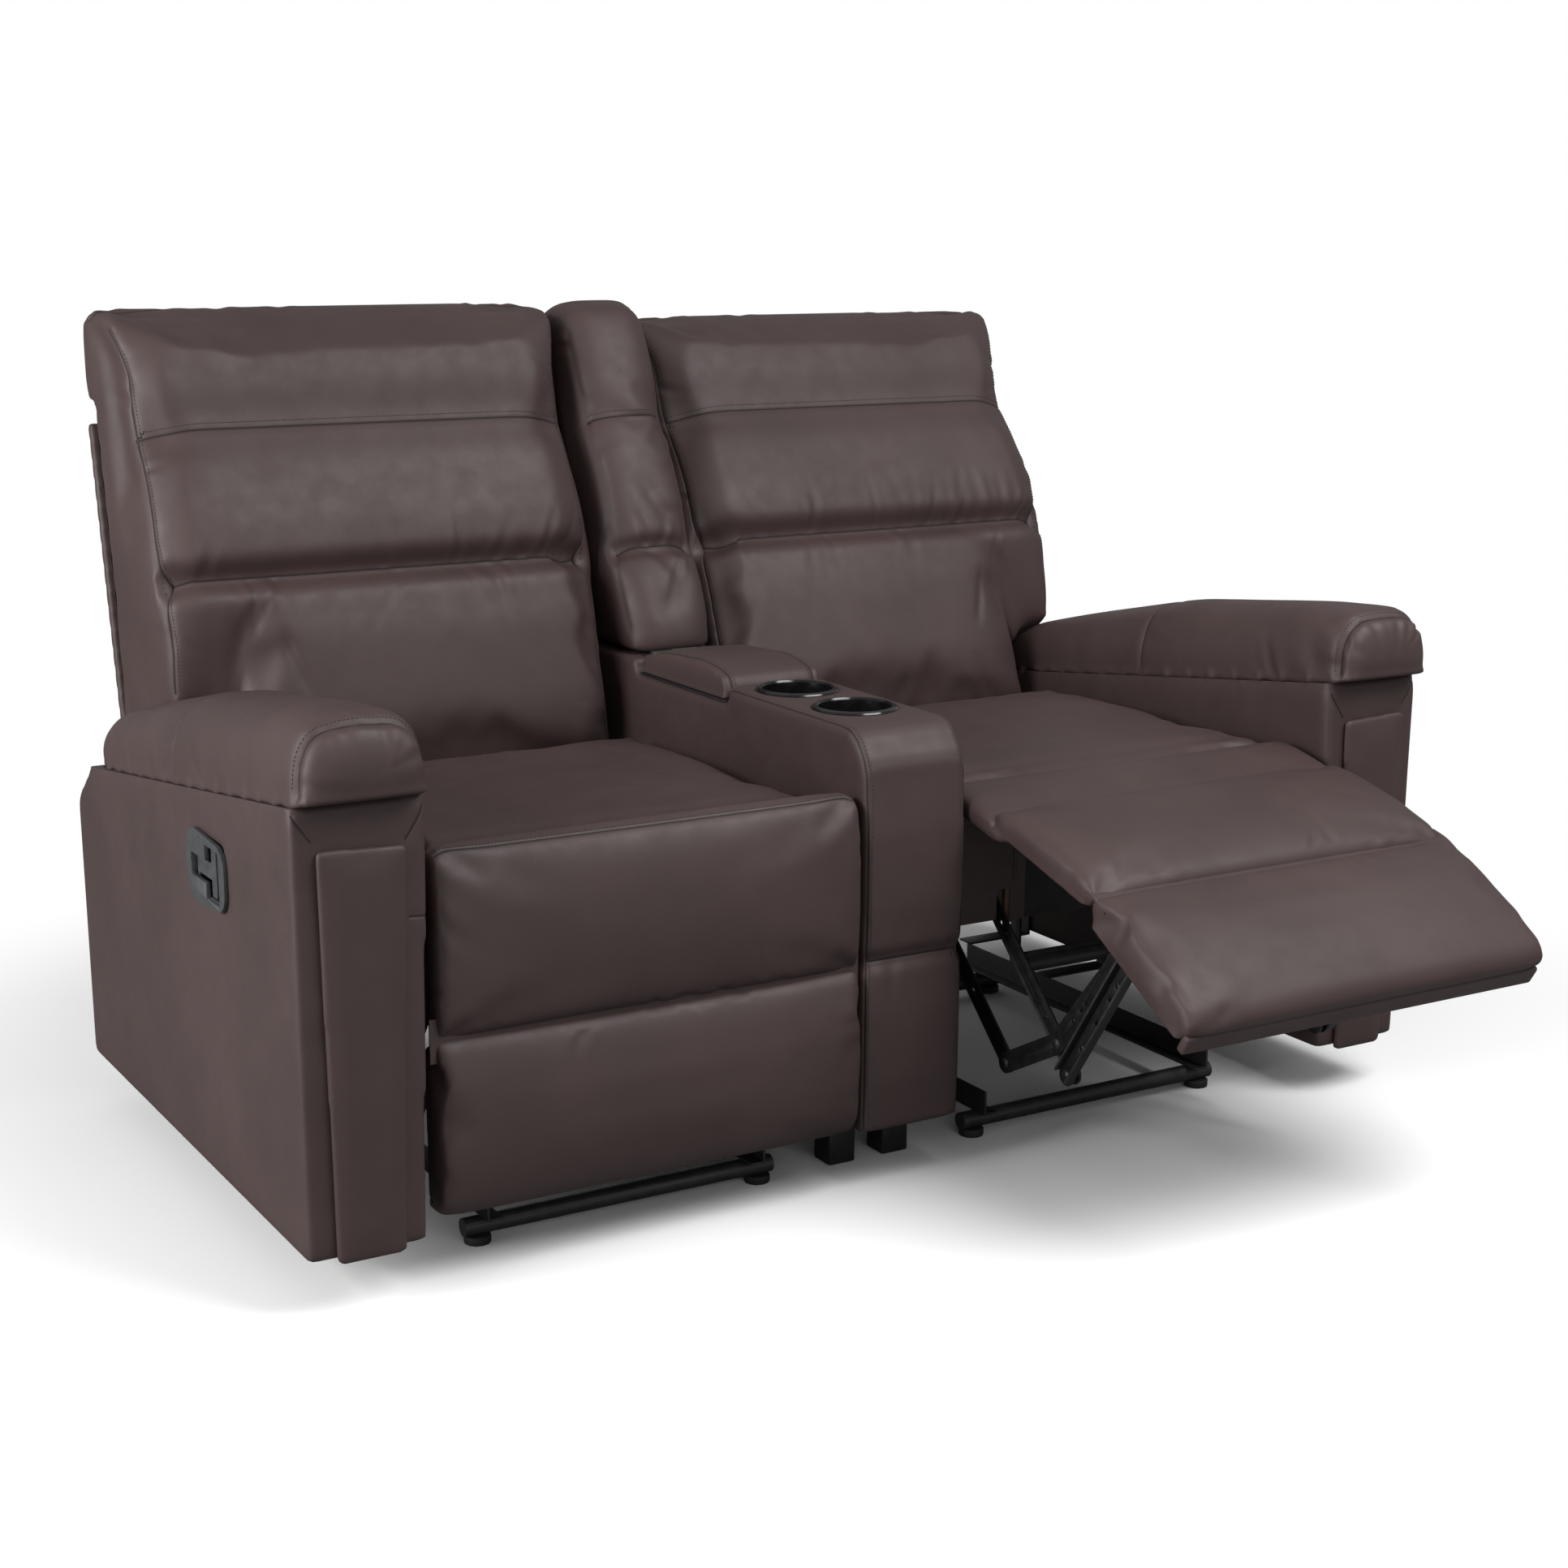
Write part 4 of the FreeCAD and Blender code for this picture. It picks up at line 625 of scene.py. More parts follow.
    @staticmethod
    def slab(name: str, low: Point, high: Point, cuts: int = 0, bevel: float = 0.0) -> Piece:
        """A box between two corners, with its faces cut up evenly or its edges bevelled.

        Args:
            name: the new object's name.
            low: its lowest corner.
            high: its highest corner.
            cuts: how many cuts each edge gets.
            bevel: the width of the bevel.

        Returns:
            The box.
        """
        Bench.clear()
        bpy.ops.mesh.primitive_cube_add(size=1.0)
        piece = bpy.context.object
        piece.name = name
        piece.scale = tuple(high[axis] - low[axis] for axis in range(3))
        piece.location = tuple((high[axis] + low[axis]) / 2.0 for axis in range(3))
        Bench.settle(piece)
        if cuts:
            with Bench.editing(piece):
                bpy.ops.mesh.subdivide(number_cuts=cuts)
        if bevel:
            with Bench.editing(piece):
                bpy.ops.mesh.bevel(offset=bevel, segments=3, affect="EDGES")
        return piece

    @staticmethod
    def surface(piece: Piece) -> BVHTree:
        """A search tree of a mesh's faces."""
        corners = [vertex.co for vertex in piece.data.vertices]
        return BVHTree.FromPolygons(corners, [polygon.vertices[:] for polygon in piece.data.polygons])

    @staticmethod
    def smooth(piece: Piece, degrees: float = 180.0) -> None:
        """Shades a mesh smooth, with an edge where faces meet at more than an angle."""
        Bench.pick(piece)
        if degrees >= 180.0:
            bpy.ops.object.shade_smooth()
        else:
            bpy.ops.object.shade_smooth_by_angle(angle=math.radians(degrees))

    @staticmethod
    def finish(piece: Piece, finish: Finish, slot: Slot, body: str) -> None:
        """Gives a piece its one material and the body that carries it."""
        piece.data.materials.clear()
        piece.data.materials.append(finish.material())
        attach(piece, body)
        log.info("%s on %s: %d faces", piece.name, body, len(piece.data.polygons))

    @staticmethod
    def cover(piece: Piece, side: Side, stance: Stance, finish: Finish, body: str,
              degrees: float) -> None:
        """Sets a drawn piece of the cover in its place and finishes it.

        Args:
            piece: the piece as drawn for the right.
            side: the half that gets it.
            stance: how it stands there.
            finish: its surface.
            body: the body that carries it.
            degrees: the angle from which its edges stay sharp.
        """
        side.flip(piece.data)
        piece.data.transform(stance.matrix())
        Bench.smooth(piece, degrees)
        Bench.finish(piece, finish, Slot.LEATHER, body)


# Seams and folds


def over(back: float, high: float, low_x: float, high_x: float) -> tuple[Point, ...]:
    """A guide straight across the seat."""
    return ((low_x, back, high), (high_x, back, high))


def down(x: float, outline: Sequence[Place]) -> tuple[Point, ...]:
    """A guide down one side at a fixed x."""
    return tuple((x, back, high) for back, high in outline)


@dataclass(frozen=True)
class Seam:
    """A sewn line over a cushion, given by points close to its surface.

    depth and reach say how far the cover is drawn in and how wide that dip is. The folds are small gathers
    that start at the line. fade is the length over which both ends die out.
    """

    guide: tuple[Point, ...]
    depth: float = 0.0015
    reach: float = 0.008
    drawn: bool = True
    top_stitch: float = 0.0
    folds: int = 0
    fold_high: float = 0.003
    fold_reach: float = 0.045
    fold_wide: float = 0.009
    fade: float = 0.0


class Path:
    """A seam's line, laid on a surface."""

    SEARCH_ROWS = 6000
    THICKNESS = 0.035

    def __init__(self, surface: BVHTree, guide: Sequence[Point], step: float = 0.005) -> None:
        """Samples the guide and drops each sample on the surface."""
        corners = [np.array(point) for point in guide]
        samples = [corners[0]]
        for start, end in zip(corners, corners[1:]):
            count = max(1, int(round(float(np.linalg.norm(end - start)) / step)))
            samples.extend(start + (end - start) * (index / count) for index in range(1, count + 1))
        found = [surface.find_nearest(Vector(sample))[:2] for sample in samples]
        self.points = self._soften(np.array([spot[:] for spot, _ in found]))
        self.normals = self._soften(np.array([normal[:] for _, normal in found]))
        self.normals /= np.linalg.norm(self.normals, axis=1)[:, None]
        self.ahead = self._unit(np.gradient(self.points, axis=0))
        self.aside = self._unit(np.cross(self.normals, self.ahead))
        steps = np.linalg.norm(np.diff(self.points, axis=0), axis=1)
        self.run = np.concatenate(([0.0], np.cumsum(steps)))

    @staticmethod
    def _unit(rows: Array) -> Array:
        """Directions of length one."""
        return rows / np.maximum(np.linalg.norm(rows, axis=1), 1e-9)[:, None]

    @staticmethod
    def _soften(rows: Array) -> Array:
        """A running mean over neighbours that keeps both ends."""
        for _ in range(3):
            middle = (rows[:-2] + 2.0 * rows[1:-1] + rows[2:]) / 4.0 if len(rows) > 2 else rows[1:-1]
            rows = np.concatenate((rows[:1], middle, rows[-1:]))
        return rows

    def measure(self, spots: Array, margin: float) -> tuple[Array, Array, Array, Array]:
        """Where nearby points lie from the line.

        Args:
            spots: places of a mesh's points.
            margin: how far from the line to look.

        Returns:
            The indices of the near points, and for each its run along the line, its distance
            aside with a sign, and how far past an end it lies.
        """
        low, high = self.points.min(0) - margin, self.points.max(0) + margin
        near = np.flatnonzero(((spots > low) & (spots < high)).all(1))
        along, aside, beyond = np.zeros((3, len(near)))
        keep = np.zeros(len(near), bool)
        line = self.points.astype(np.float32)
        for start in range(0, len(near), self.SEARCH_ROWS):
            rows = slice(start, start + self.SEARCH_ROWS)
            here = spots[near[rows]]
            gaps = ((here[:, None, :].astype(np.float32) - line[None]) ** 2).sum(2)
            best = gaps.argmin(1)
            offset = here - self.points[best]
            lift = (offset * self.normals[best]).sum(1)
            along[rows] = self.run[best] + (offset * self.ahead[best]).sum(1)
            aside[rows] = (offset * self.aside[best]).sum(1)
            beyond[rows] = np.maximum(np.maximum(-along[rows], along[rows] - self.run[-1]), 0.0)
            keep[rows] = (np.abs(lift) < self.THICKNESS) & (np.abs(aside[rows]) < margin)
        return near[keep], along[keep], aside[keep], beyond[keep]


class Sewing:
    """Presses seams and gathers into a cushion's mesh and sews its stitches."""

    END_REACH = 0.012
    UNSEWN_GAP, DRAWN_GAP = 99.0, 9.0
    STITCH_PITCH = 0.0046
    DIP_MARGIN, FOLD_MARGIN = 2.6, 1.6
    MILLIMETRES = 1000.0
    PAST_END, END_GAP = 0.002, 50.0
    FOLD_CENTRES = (0.02, 0.98)
    FOLD_SLANT = 0.35
    FOLD_WIDTHS = (0.7, 1.5)
    FOLD_SIZES = (0.45, 1.0)
    FOLD_SIGNS = (-1.0, -1.0, 0.7)
    BESIDE_SHIFT, BESIDE_SHARE = 1.7, 0.45
    PEAK = 0.4

    def __init__(self, piece: Piece, seed: int) -> None:
        """Takes a finished form, still in its drawn place."""
        self.piece = piece
        self.random = np.random.default_rng(seed)
        self.threads: list[tuple[Path, float]] = []

    def gathers(self, seam: Seam, along: Array, aside: Array, length: float) -> Array:
        """Small folds that start at a seam and fade away from it.

        Args:
            seam: the seam with the measures of its folds.
            along: for each point, its run along the seam.
            aside: for each point, its signed distance from the seam.
            length: the seam's length.

        Returns:
            How far each point moves outward.
        """
        total = np.zeros(len(along))
        away = np.abs(aside)
        for _ in range(seam.folds):
            centre = self.random.uniform(*self.FOLD_CENTRES) * length
            slant = self.random.normal(0.0, self.FOLD_SLANT)
            wide = seam.fold_wide * self.random.uniform(*self.FOLD_WIDTHS)
            tall = seam.fold_high * self.random.uniform(*self.FOLD_SIZES)
            tall *= self.random.choice(self.FOLD_SIGNS)
            long = seam.fold_reach * self.random.uniform(*self.FOLD_SIZES)
            side = self.random.choice((-1.0, 1.0))
            from_centre = along - centre - slant * away
            ridge = np.exp(-(from_centre / wide) ** 2)
            for shift in (-self.BESIDE_SHIFT, self.BESIDE_SHIFT):
                ridge -= self.BESIDE_SHARE * np.exp(-((from_centre - shift * wide) / wide) ** 2)
            share = away / (long * self.PEAK)
            total += tall * ridge * share * np.exp(1.0 - share) * (np.sign(aside) == side)
        return total

    def press(self, seams: Iterable[Seam]) -> None:
        """Draws the cover in along every seam and records where each line runs."""
        surface = Bench.surface(self.piece)
        spots, outward = Bench.spots(self.piece), Bench.outward(self.piece)
        move = np.zeros(len(spots))
        gap = np.full(len(spots), self.UNSEWN_GAP)
        for seam in seams:
            path = Path(surface, seam.guide)
            length = float(path.run[-1])
            folded = seam.fold_reach * self.FOLD_MARGIN if seam.folds else 0.0
            margin = max(seam.reach * self.DIP_MARGIN, folded, self.END_REACH)
            near, along, aside, beyond = path.measure(spots, margin)
            fade = np.clip(1.0 - beyond / self.END_REACH, 0.0, 1.0)
            if seam.fade:
                fade = fade * ramp(np.minimum(along, length - along), 0.0, seam.fade)
            change = -seam.depth * np.exp(-(aside / seam.reach) ** 2)
            if seam.folds:
                change = change + self.gathers(seam, along, aside, length)
            move[near] += change * fade
            if seam.drawn:
                distance = np.abs(aside) * self.MILLIMETRES + (beyond > self.PAST_END) * self.END_GAP
                closer = distance < np.abs(gap[near])
                gap[near[closer]] = (np.sign(aside) * distance)[closer]
            if seam.top_stitch:
                self.threads.append((path, seam.top_stitch))
        Bench.place_spots(self.piece, spots + outward * move[:, None])
        for name, values in (("seam_gap", gap), ("seam_near", np.abs(gap) < self.DRAWN_GAP)):
            layer = self.piece.data.attributes.new(name, "FLOAT", "POINT")
            layer.data.foreach_set("value", values.astype(np.float32))

    def stitches(self, name: str) -> Piece | None:
        """One named object with every stitch of the top-stitched seams, or None without any."""
        if not self.threads:
            return None
        model = StitchModel.get()
        pitch = self.STITCH_PITCH
        surface = Bench.surface(self.piece)
        corners, faces = [], []
        for path, offset in self.threads:
            for run in np.arange(pitch, float(path.run[-1]) - pitch, pitch):
                place = [float(np.interp(run, path.run, path.points[:, axis])) for axis in range(3)]
                index = int(np.argmin(np.abs(path.run - run)))
                found, normal, _, _ = surface.find_nearest(Vector(place) + Vector(path.aside[index]) * offset)
                if found is None:
                    continue
                aside = normal.cross(Vector(path.ahead[index])).normalized()
                ahead = aside.cross(normal).normalized()
                base = len(corners) * len(model.spots)
                corners.append(model.spots @ np.array((ahead[:], aside[:], normal[:])) + np.array(found[:]))
                faces.extend([[base + corner for corner in face] for face in model.faces])
        mesh = bpy.data.meshes.new(name)
        mesh.from_pydata(np.concatenate(corners).tolist(), [], faces)
        return Bench.new(name, mesh)


class StitchModel:
    """One stitch of thread: a short rounded bar whose ends dive into the leather."""

    made: "StitchModel | None" = None

    def __init__(self) -> None:
        """Models the stitch once, from a six-sided bar."""
        Bench.clear()
        bpy.ops.mesh.primitive_cylinder_add(vertices=6, radius=0.00052, depth=0.0022,
                                            rotation=(0.0, math.pi / 2, 0.0))
        bar = Bench.settle(bpy.context.object)
        bpy.ops.object.mode_set(mode="EDIT")
        bpy.ops.mesh.select_mode(type="FACE")
        for sign in (-1.0, 1.0):
            bpy.ops.mesh.select_all(action="DESELECT")
            bpy.ops.object.mode_set(mode="OBJECT")
            for polygon in bar.data.polygons:
                polygon.select = polygon.normal.x * sign > 0.9
            bpy.ops.object.mode_set(mode="EDIT")
            bpy.ops.mesh.extrude_region_move(TRANSFORM_OT_translate={"value": (sign * 0.0007, 0.0, -0.0006)})
            bpy.ops.transform.resize(value=(0.6, 0.6, 0.6))
        bpy.ops.object.mode_set(mode="OBJECT")
        self.spots = Bench.spots(bar) + np.array((0.0, 0.0, 0.0002))
        self.faces = [list(polygon.vertices) for polygon in bar.data.polygons]
        bpy.data.objects.remove(bar)

    @classmethod
    def get(cls) -> "StitchModel":
        """The one model, built at its first use."""
        if cls.made is None:
            cls.made = cls()
        return cls.made


# Cushions


LEFT_SEED = 7
LAST_SOFTEN, SHAPE_SOFTEN = 4, 2
ROUND, TRIMMED = 180.0, 55.0
CLOTH_FRAMES = 20
CLOTH = {"quality": 5, "mass": 0.3, "tension_stiffness": 15.0, "compression_stiffness": 15.0,
         "shear_stiffness": 8.0, "bending_stiffness": 14.0, "use_pressure": True,
         "uniform_pressure_force": 4.0, "vertex_group_mass": "held"}


@dataclass
class Cushion:
    """A stuffed leather piece that is blown up from its plain form and then sewn.

    held chooses the points on its mounted side and shape moves the finished points. shrink, cap and room
    say how far it may swell, grow_low and grow_high how much its box grows, and trim gives the plane that
    cuts it off.
    """

    name: str
    nodes: tuple[str, ...]
    body: str = "frame"
    held: Rule = nowhere
    seams: tuple[Seam, ...] = ()
    out: Stance = CLOSED
    voxel: float = 0.007
    shrink: float = 0.003
    cap: float = 0.010
    room: Point = (0.0005, 0.006, 0.006)
    soften: int = 6
    grow_low: Point = (0.0, 0.0, 0.0)
    grow_high: Point = (0.0, 0.0, 0.0)
    trim: tuple[Point, Point] | None = None
    shape: Rule | None = None
    fill: float | None = 0.75
    seed: int = 1
    paired: bool = True

    def titles(self, side: Side, names: Sequence[str]) -> list[str]:
        """Names as they are on one side."""
        return [side.named(name) if self.paired else name for name in names]

    def sides(self) -> tuple[Side, ...]:
        """The halves that get the piece."""
        return (Side.LEFT, Side.RIGHT) if self.paired else (Side.RIGHT,)

    def source(self) -> Piece:
        """The plain form to blow up, in its drawn place."""
        piece = Bench.merged_copy(self.titles(Side.RIGHT, self.nodes), self.name)
        piece.data.transform(self.out.matrix().inverted())
        return piece

    def form(self) -> Piece:
        """The inflated form in its drawn place, on the right-hand side."""
        piece = self.source()
        first = Bench.spots(piece)
        low, high = first.min(0), first.max(0)
        room = np.array(self.room)
        Bench.modify(piece, "REMESH", mode="VOXEL", voxel_size=self.voxel)
        held = self.held(Bench.spots(piece))
        Bench.relax(piece, held, self.soften)
        start = Bench.spots(piece) - Bench.outward(piece) * np.where(held, 0.0, self.shrink)[:, None]
        Bench.place_spots(piece, start)
        self.inflate(piece, held)
        moved = Bench.spots(piece) - start
        length = np.linalg.norm(moved, axis=1)
        moved *= np.minimum(1.0, self.cap / np.maximum(length, 1e-9))[:, None]
        Bench.place_spots(piece, np.clip(start + moved, low - room, high + room))
        Bench.relax(piece, held, LAST_SOFTEN)
        Bench.refit(piece, low - np.array(self.grow_low), high + np.array(self.grow_high))
        if self.shape is not None:
            Bench.place_spots(piece, self.shape(Bench.spots(piece)))
            Bench.relax(piece, held, SHAPE_SOFTEN)
        Bench.modify(piece, "SUBSURF", levels=1, render_levels=1)
        if self.trim is not None:
            Bench.trim(piece, *self.trim)
        return piece

    def inflate(self, piece: Piece, held: Array) -> None:
        """Blows the cover up like a stuffed cushion, with its mounted side held."""
        Bench.group(piece, "held", held)
        Bench.pick(piece)
        cover = piece.modifiers.new("Cover", "CLOTH")
        for name, value in CLOTH.items():
            setattr(cover.settings, name, value)
        cover.settings.effector_weights.gravity = 0.0
        cover.collision_settings.use_collision = False
        cover.point_cache.frame_start = 1
        cover.point_cache.frame_end = CLOTH_FRAMES
        for now in range(1, CLOTH_FRAMES + 1):
            bpy.context.scene.frame_set(now)
        bpy.ops.object.modifier_apply(modifier=cover.name)
        bpy.context.scene.frame_set(1)
        piece.vertex_groups.clear()

    def sew(self, piece: Piece, side: Side, title: str) -> None:
        """Sews one side's drawn piece and sets it in its place with its stitches."""
        sewing = Sewing(piece, self.seed + (LEFT_SEED if side is Side.LEFT else 0))
        sewing.press(self.seams)
        thread = sewing.stitches(title + "_stitches")
        degrees = ROUND if self.trim is None else TRIMMED
        for item, finish in ((piece, LEATHER), (thread, THREAD)):
            if item is not None:
                Bench.cover(item, side, self.out.on(side), finish, side.carrier(self.body), degrees)
        self.declare(piece, side)

    def declare(self, piece: Piece, side: Side) -> None:
        """Hides the CAD solids that the piece stands for."""
        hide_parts(*self.titles(side, self.nodes))

    def build(self) -> None:
        """Builds the cushion, on both sides where it is one of a pair."""
        form = self.form()
        for side in self.sides():
            title = self.titles(side, (self.name,))[0]
            self.sew(Bench.new(title, form.data.copy()), side, title)
        bpy.data.objects.remove(form)


@dataclass
class Shell(Cushion):
    """Boards with leather drawn tightly over them: edges round off and seams show."""

    fill: float | None = None

    def build(self) -> None:
        """Builds the covered boards from each side's own solids."""
        for side in self.sides():
            title = self.titles(side, (self.name,))[0]
            piece = Bench.merged_copy(self.titles(side, self.nodes), title)
            piece.data.transform(self.out.on(side).matrix().inverted())
            side.flip(piece.data)
            Bench.modify(piece, "REMESH", mode="VOXEL", voxel_size=self.voxel)
            Bench.relax(piece, self.held(Bench.spots(piece)), self.soften)
            if self.trim is not None:
                Bench.trim(piece, *self.trim)
            self.sew(piece, side, title)


@dataclass
class Seats:
    """The two seat cushions and the pads of their footrests."""

    inner: float = 0.0735
    outer: float = 0.616
    edge: float = 0.005

    def borders(self, outline: Sequence[Place], depth: float = 0.001, drawn: bool = False, folds: int = 0,
                high: float = 0.003) -> tuple[Seam, Seam]:
        """The same seam just inside both ends.

        Args:
            outline: how far back and how high it runs.
            depth: how far the cover is drawn in.
            drawn: whether it shows as a line.
            folds: how many small folds start there.
            high: the height of the folds.

        Returns:
            Both seams.
        """
        return tuple(Seam(down(x, outline), depth, 0.006, drawn, folds=folds, fold_high=high, fold_reach=0.03)
                     for x in (self.inner + self.edge, self.outer - self.edge))

    def gather(self, back: float, high: float, folds: int, tall: float, reach: float,
               inset: float = 0.0) -> Seam:
        """A row of small folds across the cushion, without a line."""
        return Seam(over(back, high, self.inner + inset, self.outer - inset), 0.0, 0.01, False, folds=folds,
                    fold_high=tall, fold_reach=reach)

    def edging(self, back: float, high: float, depth: float) -> Seam:
        """The top-stitched seam along a pad's free edge."""
        return Seam(over(back, high, self.inner + 0.004, self.outer - 0.004), depth, 0.007, top_stitch=0.005)

    def seat(self) -> Cushion:
        """The crowned seat with a soft cross line behind its front edge."""
        side = [(0.060, 0.474), (0.30, 0.470), (0.575, 0.462)]
        soft = Seam(over(0.118, 0.482, self.inner + 0.02, self.outer - 0.02), 0.0035, 0.016, False, fade=0.05)
        seams = (soft, *self.borders(side, 0.0012, True), self.gather(0.582, 0.45, 9, 0.002, 0.05, 0.02))
        return Cushion("seat_cushion", ("seat_cushion",), "frame", lambda spots: spots[:, 2] < 0.404, seams,
                       cap=0.012, soften=14, fill=0.8, seed=11)

    def bridge(self) -> Cushion:
        """The pad next to the seat, rolled at its top and gathered at its lower edge."""
        roll = [(0.014, 0.300), (0.004, 0.330), (0.002, 0.450), (0.008, 0.476), (0.022, 0.494),
                (0.040, 0.494)]
        seams = (self.edging(0.021, 0.495, 0.0012), self.gather(0.004, 0.290, 7, 0.0016, 0.035),
                 *self.borders(roll, folds=2, high=0.0012))
        return Cushion("bridge_pad", ("bridge_pad",), "bridge", lambda spots: spots[:, 1] > 0.037, seams,
                       BRIDGE_OUT, voxel=0.0065, cap=0.009, room=(0.0005, 0.005, 0.0005), soften=7, fill=0.8,
                       seed=23)

    def foot(self) -> Cushion:
        """The outer pad with a bound lower edge."""
        face = [(0.012, 0.268), (0.004, 0.240), (0.003, 0.110), (0.016, 0.085)]
        seams = (self.gather(0.004, 0.276, 6, 0.0014, 0.035), self.edging(0.049, 0.0785, 0.0015),
                 *self.borders(face, folds=3, high=0.0014))
        return Cushion("foot_pad", ("foot_pad",), "footrest", lambda spots: spots[:, 1] > 0.0495, seams,
                       FOOT_OUT, voxel=0.0065, room=(0.0005, 0.006, 0.0005), soften=7, fill=0.8, seed=31)

    def build(self) -> None:
        """Builds the seats and their pads."""
        for cushion in (self.seat(), self.bridge(), self.foot()):
            cushion.build()


@dataclass
class Flap(Cushion):
    """The soft roll that carries the seat on to the opened footrest and folds away as it closes."""

    low: Point = (0.0745, -0.036, 0.448)
    high: Point = (0.6150, 0.0800, 0.4790)
    seat_front: float = 0.0535
    middle_high: float = 0.47

    def source(self) -> Piece:
        """A bevelled slab between the seat's front and the bridge pad's rear edge."""
        return Bench.slab(self.name, self.low, self.high, bevel=0.009)

    def declare(self, piece: Piece, side: Side) -> None:
        """Gives the roll its own copy of its mesh."""
        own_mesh(piece)


@dataclass
class Facings:
    """What closes the seat's front and the fold between the pads."""

    inner: float = 0.0765
    outer: float = 0.613
    edge: float = 0.186
    front: float = 0.0518
    top: float = 0.470
    fold: Place = (0.258, 0.308)
    hinge_back: Point = (0.0215, 0.0228, 0.0240)
    overhang: float = 0.0065
    thick: float = 0.001
    slot_half: float = 0.010
    slot_high: Place = (0.290, 0.342)
    stitched: float = 0.168

    def strip(self, side: Side) -> None:
        """The leather hinge sewn between the two pads, bending with them."""
        start, end = self.fold
        near, middle_back, far = self.hinge_back
        piece = Bench.slab(side.named("pad_hinge"), (self.inner, near, start),
                           (self.outer + self.overhang, far, end), 7)
        lower, upper = FOOT_OUT.on(side).matrix(), BRIDGE_OUT.on(side).matrix()
        spots = Bench.spots(piece)
        share = ramp(spots[:, 2], start, end - start)
        share = share * share * (3.0 - 2.0 * share)
        placed = np.array([(lower @ Vector(spot)).lerp(upper @ Vector(spot), float(part))[:]
                           for spot, part in zip(spots, share)])
        placed[:, 0] *= side.sign
        Bench.place_spots(piece, placed)
        if side is Side.LEFT:
            piece.data.flip_normals()
        Bench.smooth(piece, 40.0)
        piece.data.materials.append(LEATHER.material())
        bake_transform(piece)

    def panel(self, name: str, start: Place, end: float, cuts: int, crank: float) -> Piece:
        """A thin sheet before the seat's front, with the slot through which a crank swings out.

        Args:
            name: the sheet's name.
            start: its inner end and its lower edge.
            end: its outer end.
            cuts: how many cuts its edges get.
            crank: the middle of the slot.

        Returns:
            The sheet.
        """
        piece = Bench.slab(name, (start[0], self.front, start[1]),
                           (end, self.front + self.thick, self.top), cuts)
        half = self.slot_half
        cutter = Bench.slab("passage", (crank - half, self.front - half, self.slot_high[0]),
                            (crank + half, self.front + half, self.slot_high[1]))
        Bench.modify(piece, "BOOLEAN", operation="DIFFERENCE", object=cutter, solver="EXACT")
        bpy.data.objects.remove(cutter)
        return piece

    def facing(self, side: Side) -> None:
        """Leather beside the console and black cloth over the rest of the seat's front."""
        leather = self.panel(side.named("seat_facing"), (self.inner, 0.304), self.edge, 23, 0.1537)
        sewing = Sewing(leather, 3)
        edge = ((self.stitched, self.front, 0.468), (self.stitched, self.front, 0.352))
        sewing.press([Seam(edge, 0.0006, 0.004, True, 0.004)])
        thread = sewing.stitches(side.named("seat_facing_stitches"))
        cloth = self.panel(side.named("seat_lining"), (self.edge, 0.302), self.outer, 9, 0.5358)
        for item, finish in ((leather, LEATHER), (thread, THREAD), (cloth, LINING)):
            Bench.cover(item, side, CLOSED, finish, "frame", 30.0)

    def hem(self, side: Side) -> None:
        """The leather bound over the lower edge of the outer pad and its board."""
        piece = Bench.slab(side.named("foot_hem"), (self.inner + 0.004, 0.040, 0.0772),
                           (self.outer - 0.004, 0.0655, 0.0895), bevel=0.004)
        Bench.cover(piece, side, FOOT_OUT.on(side), LEATHER, side.named("footrest"), 40.0)

    def build(self) -> None:
        """Builds hinges, facings, hems and the opened side's roll."""
        for side in Side:
            self.strip(side)
            self.facing(side)
            self.hem(side)
        roll = Flap("seat_flap", (), "frame", lambda spots: spots[:, 2] < 0.452, voxel=0.005, shrink=0.001,
                    cap=0.003, room=(0.0, 0.001, 0.001), soften=3, shape=self.dip, fill=0.6, seed=131,
                    paired=False)
        roll.build()

    @staticmethod
    def dip(spots: Array) -> Array:
        """Lowers the roll towards the footrest, so that it passes under the pad's rear edge."""
        spots[:, 2] -= 0.019 * ramp(spots[:, 1], 0.056, -0.085) ** 1.2
        return spots


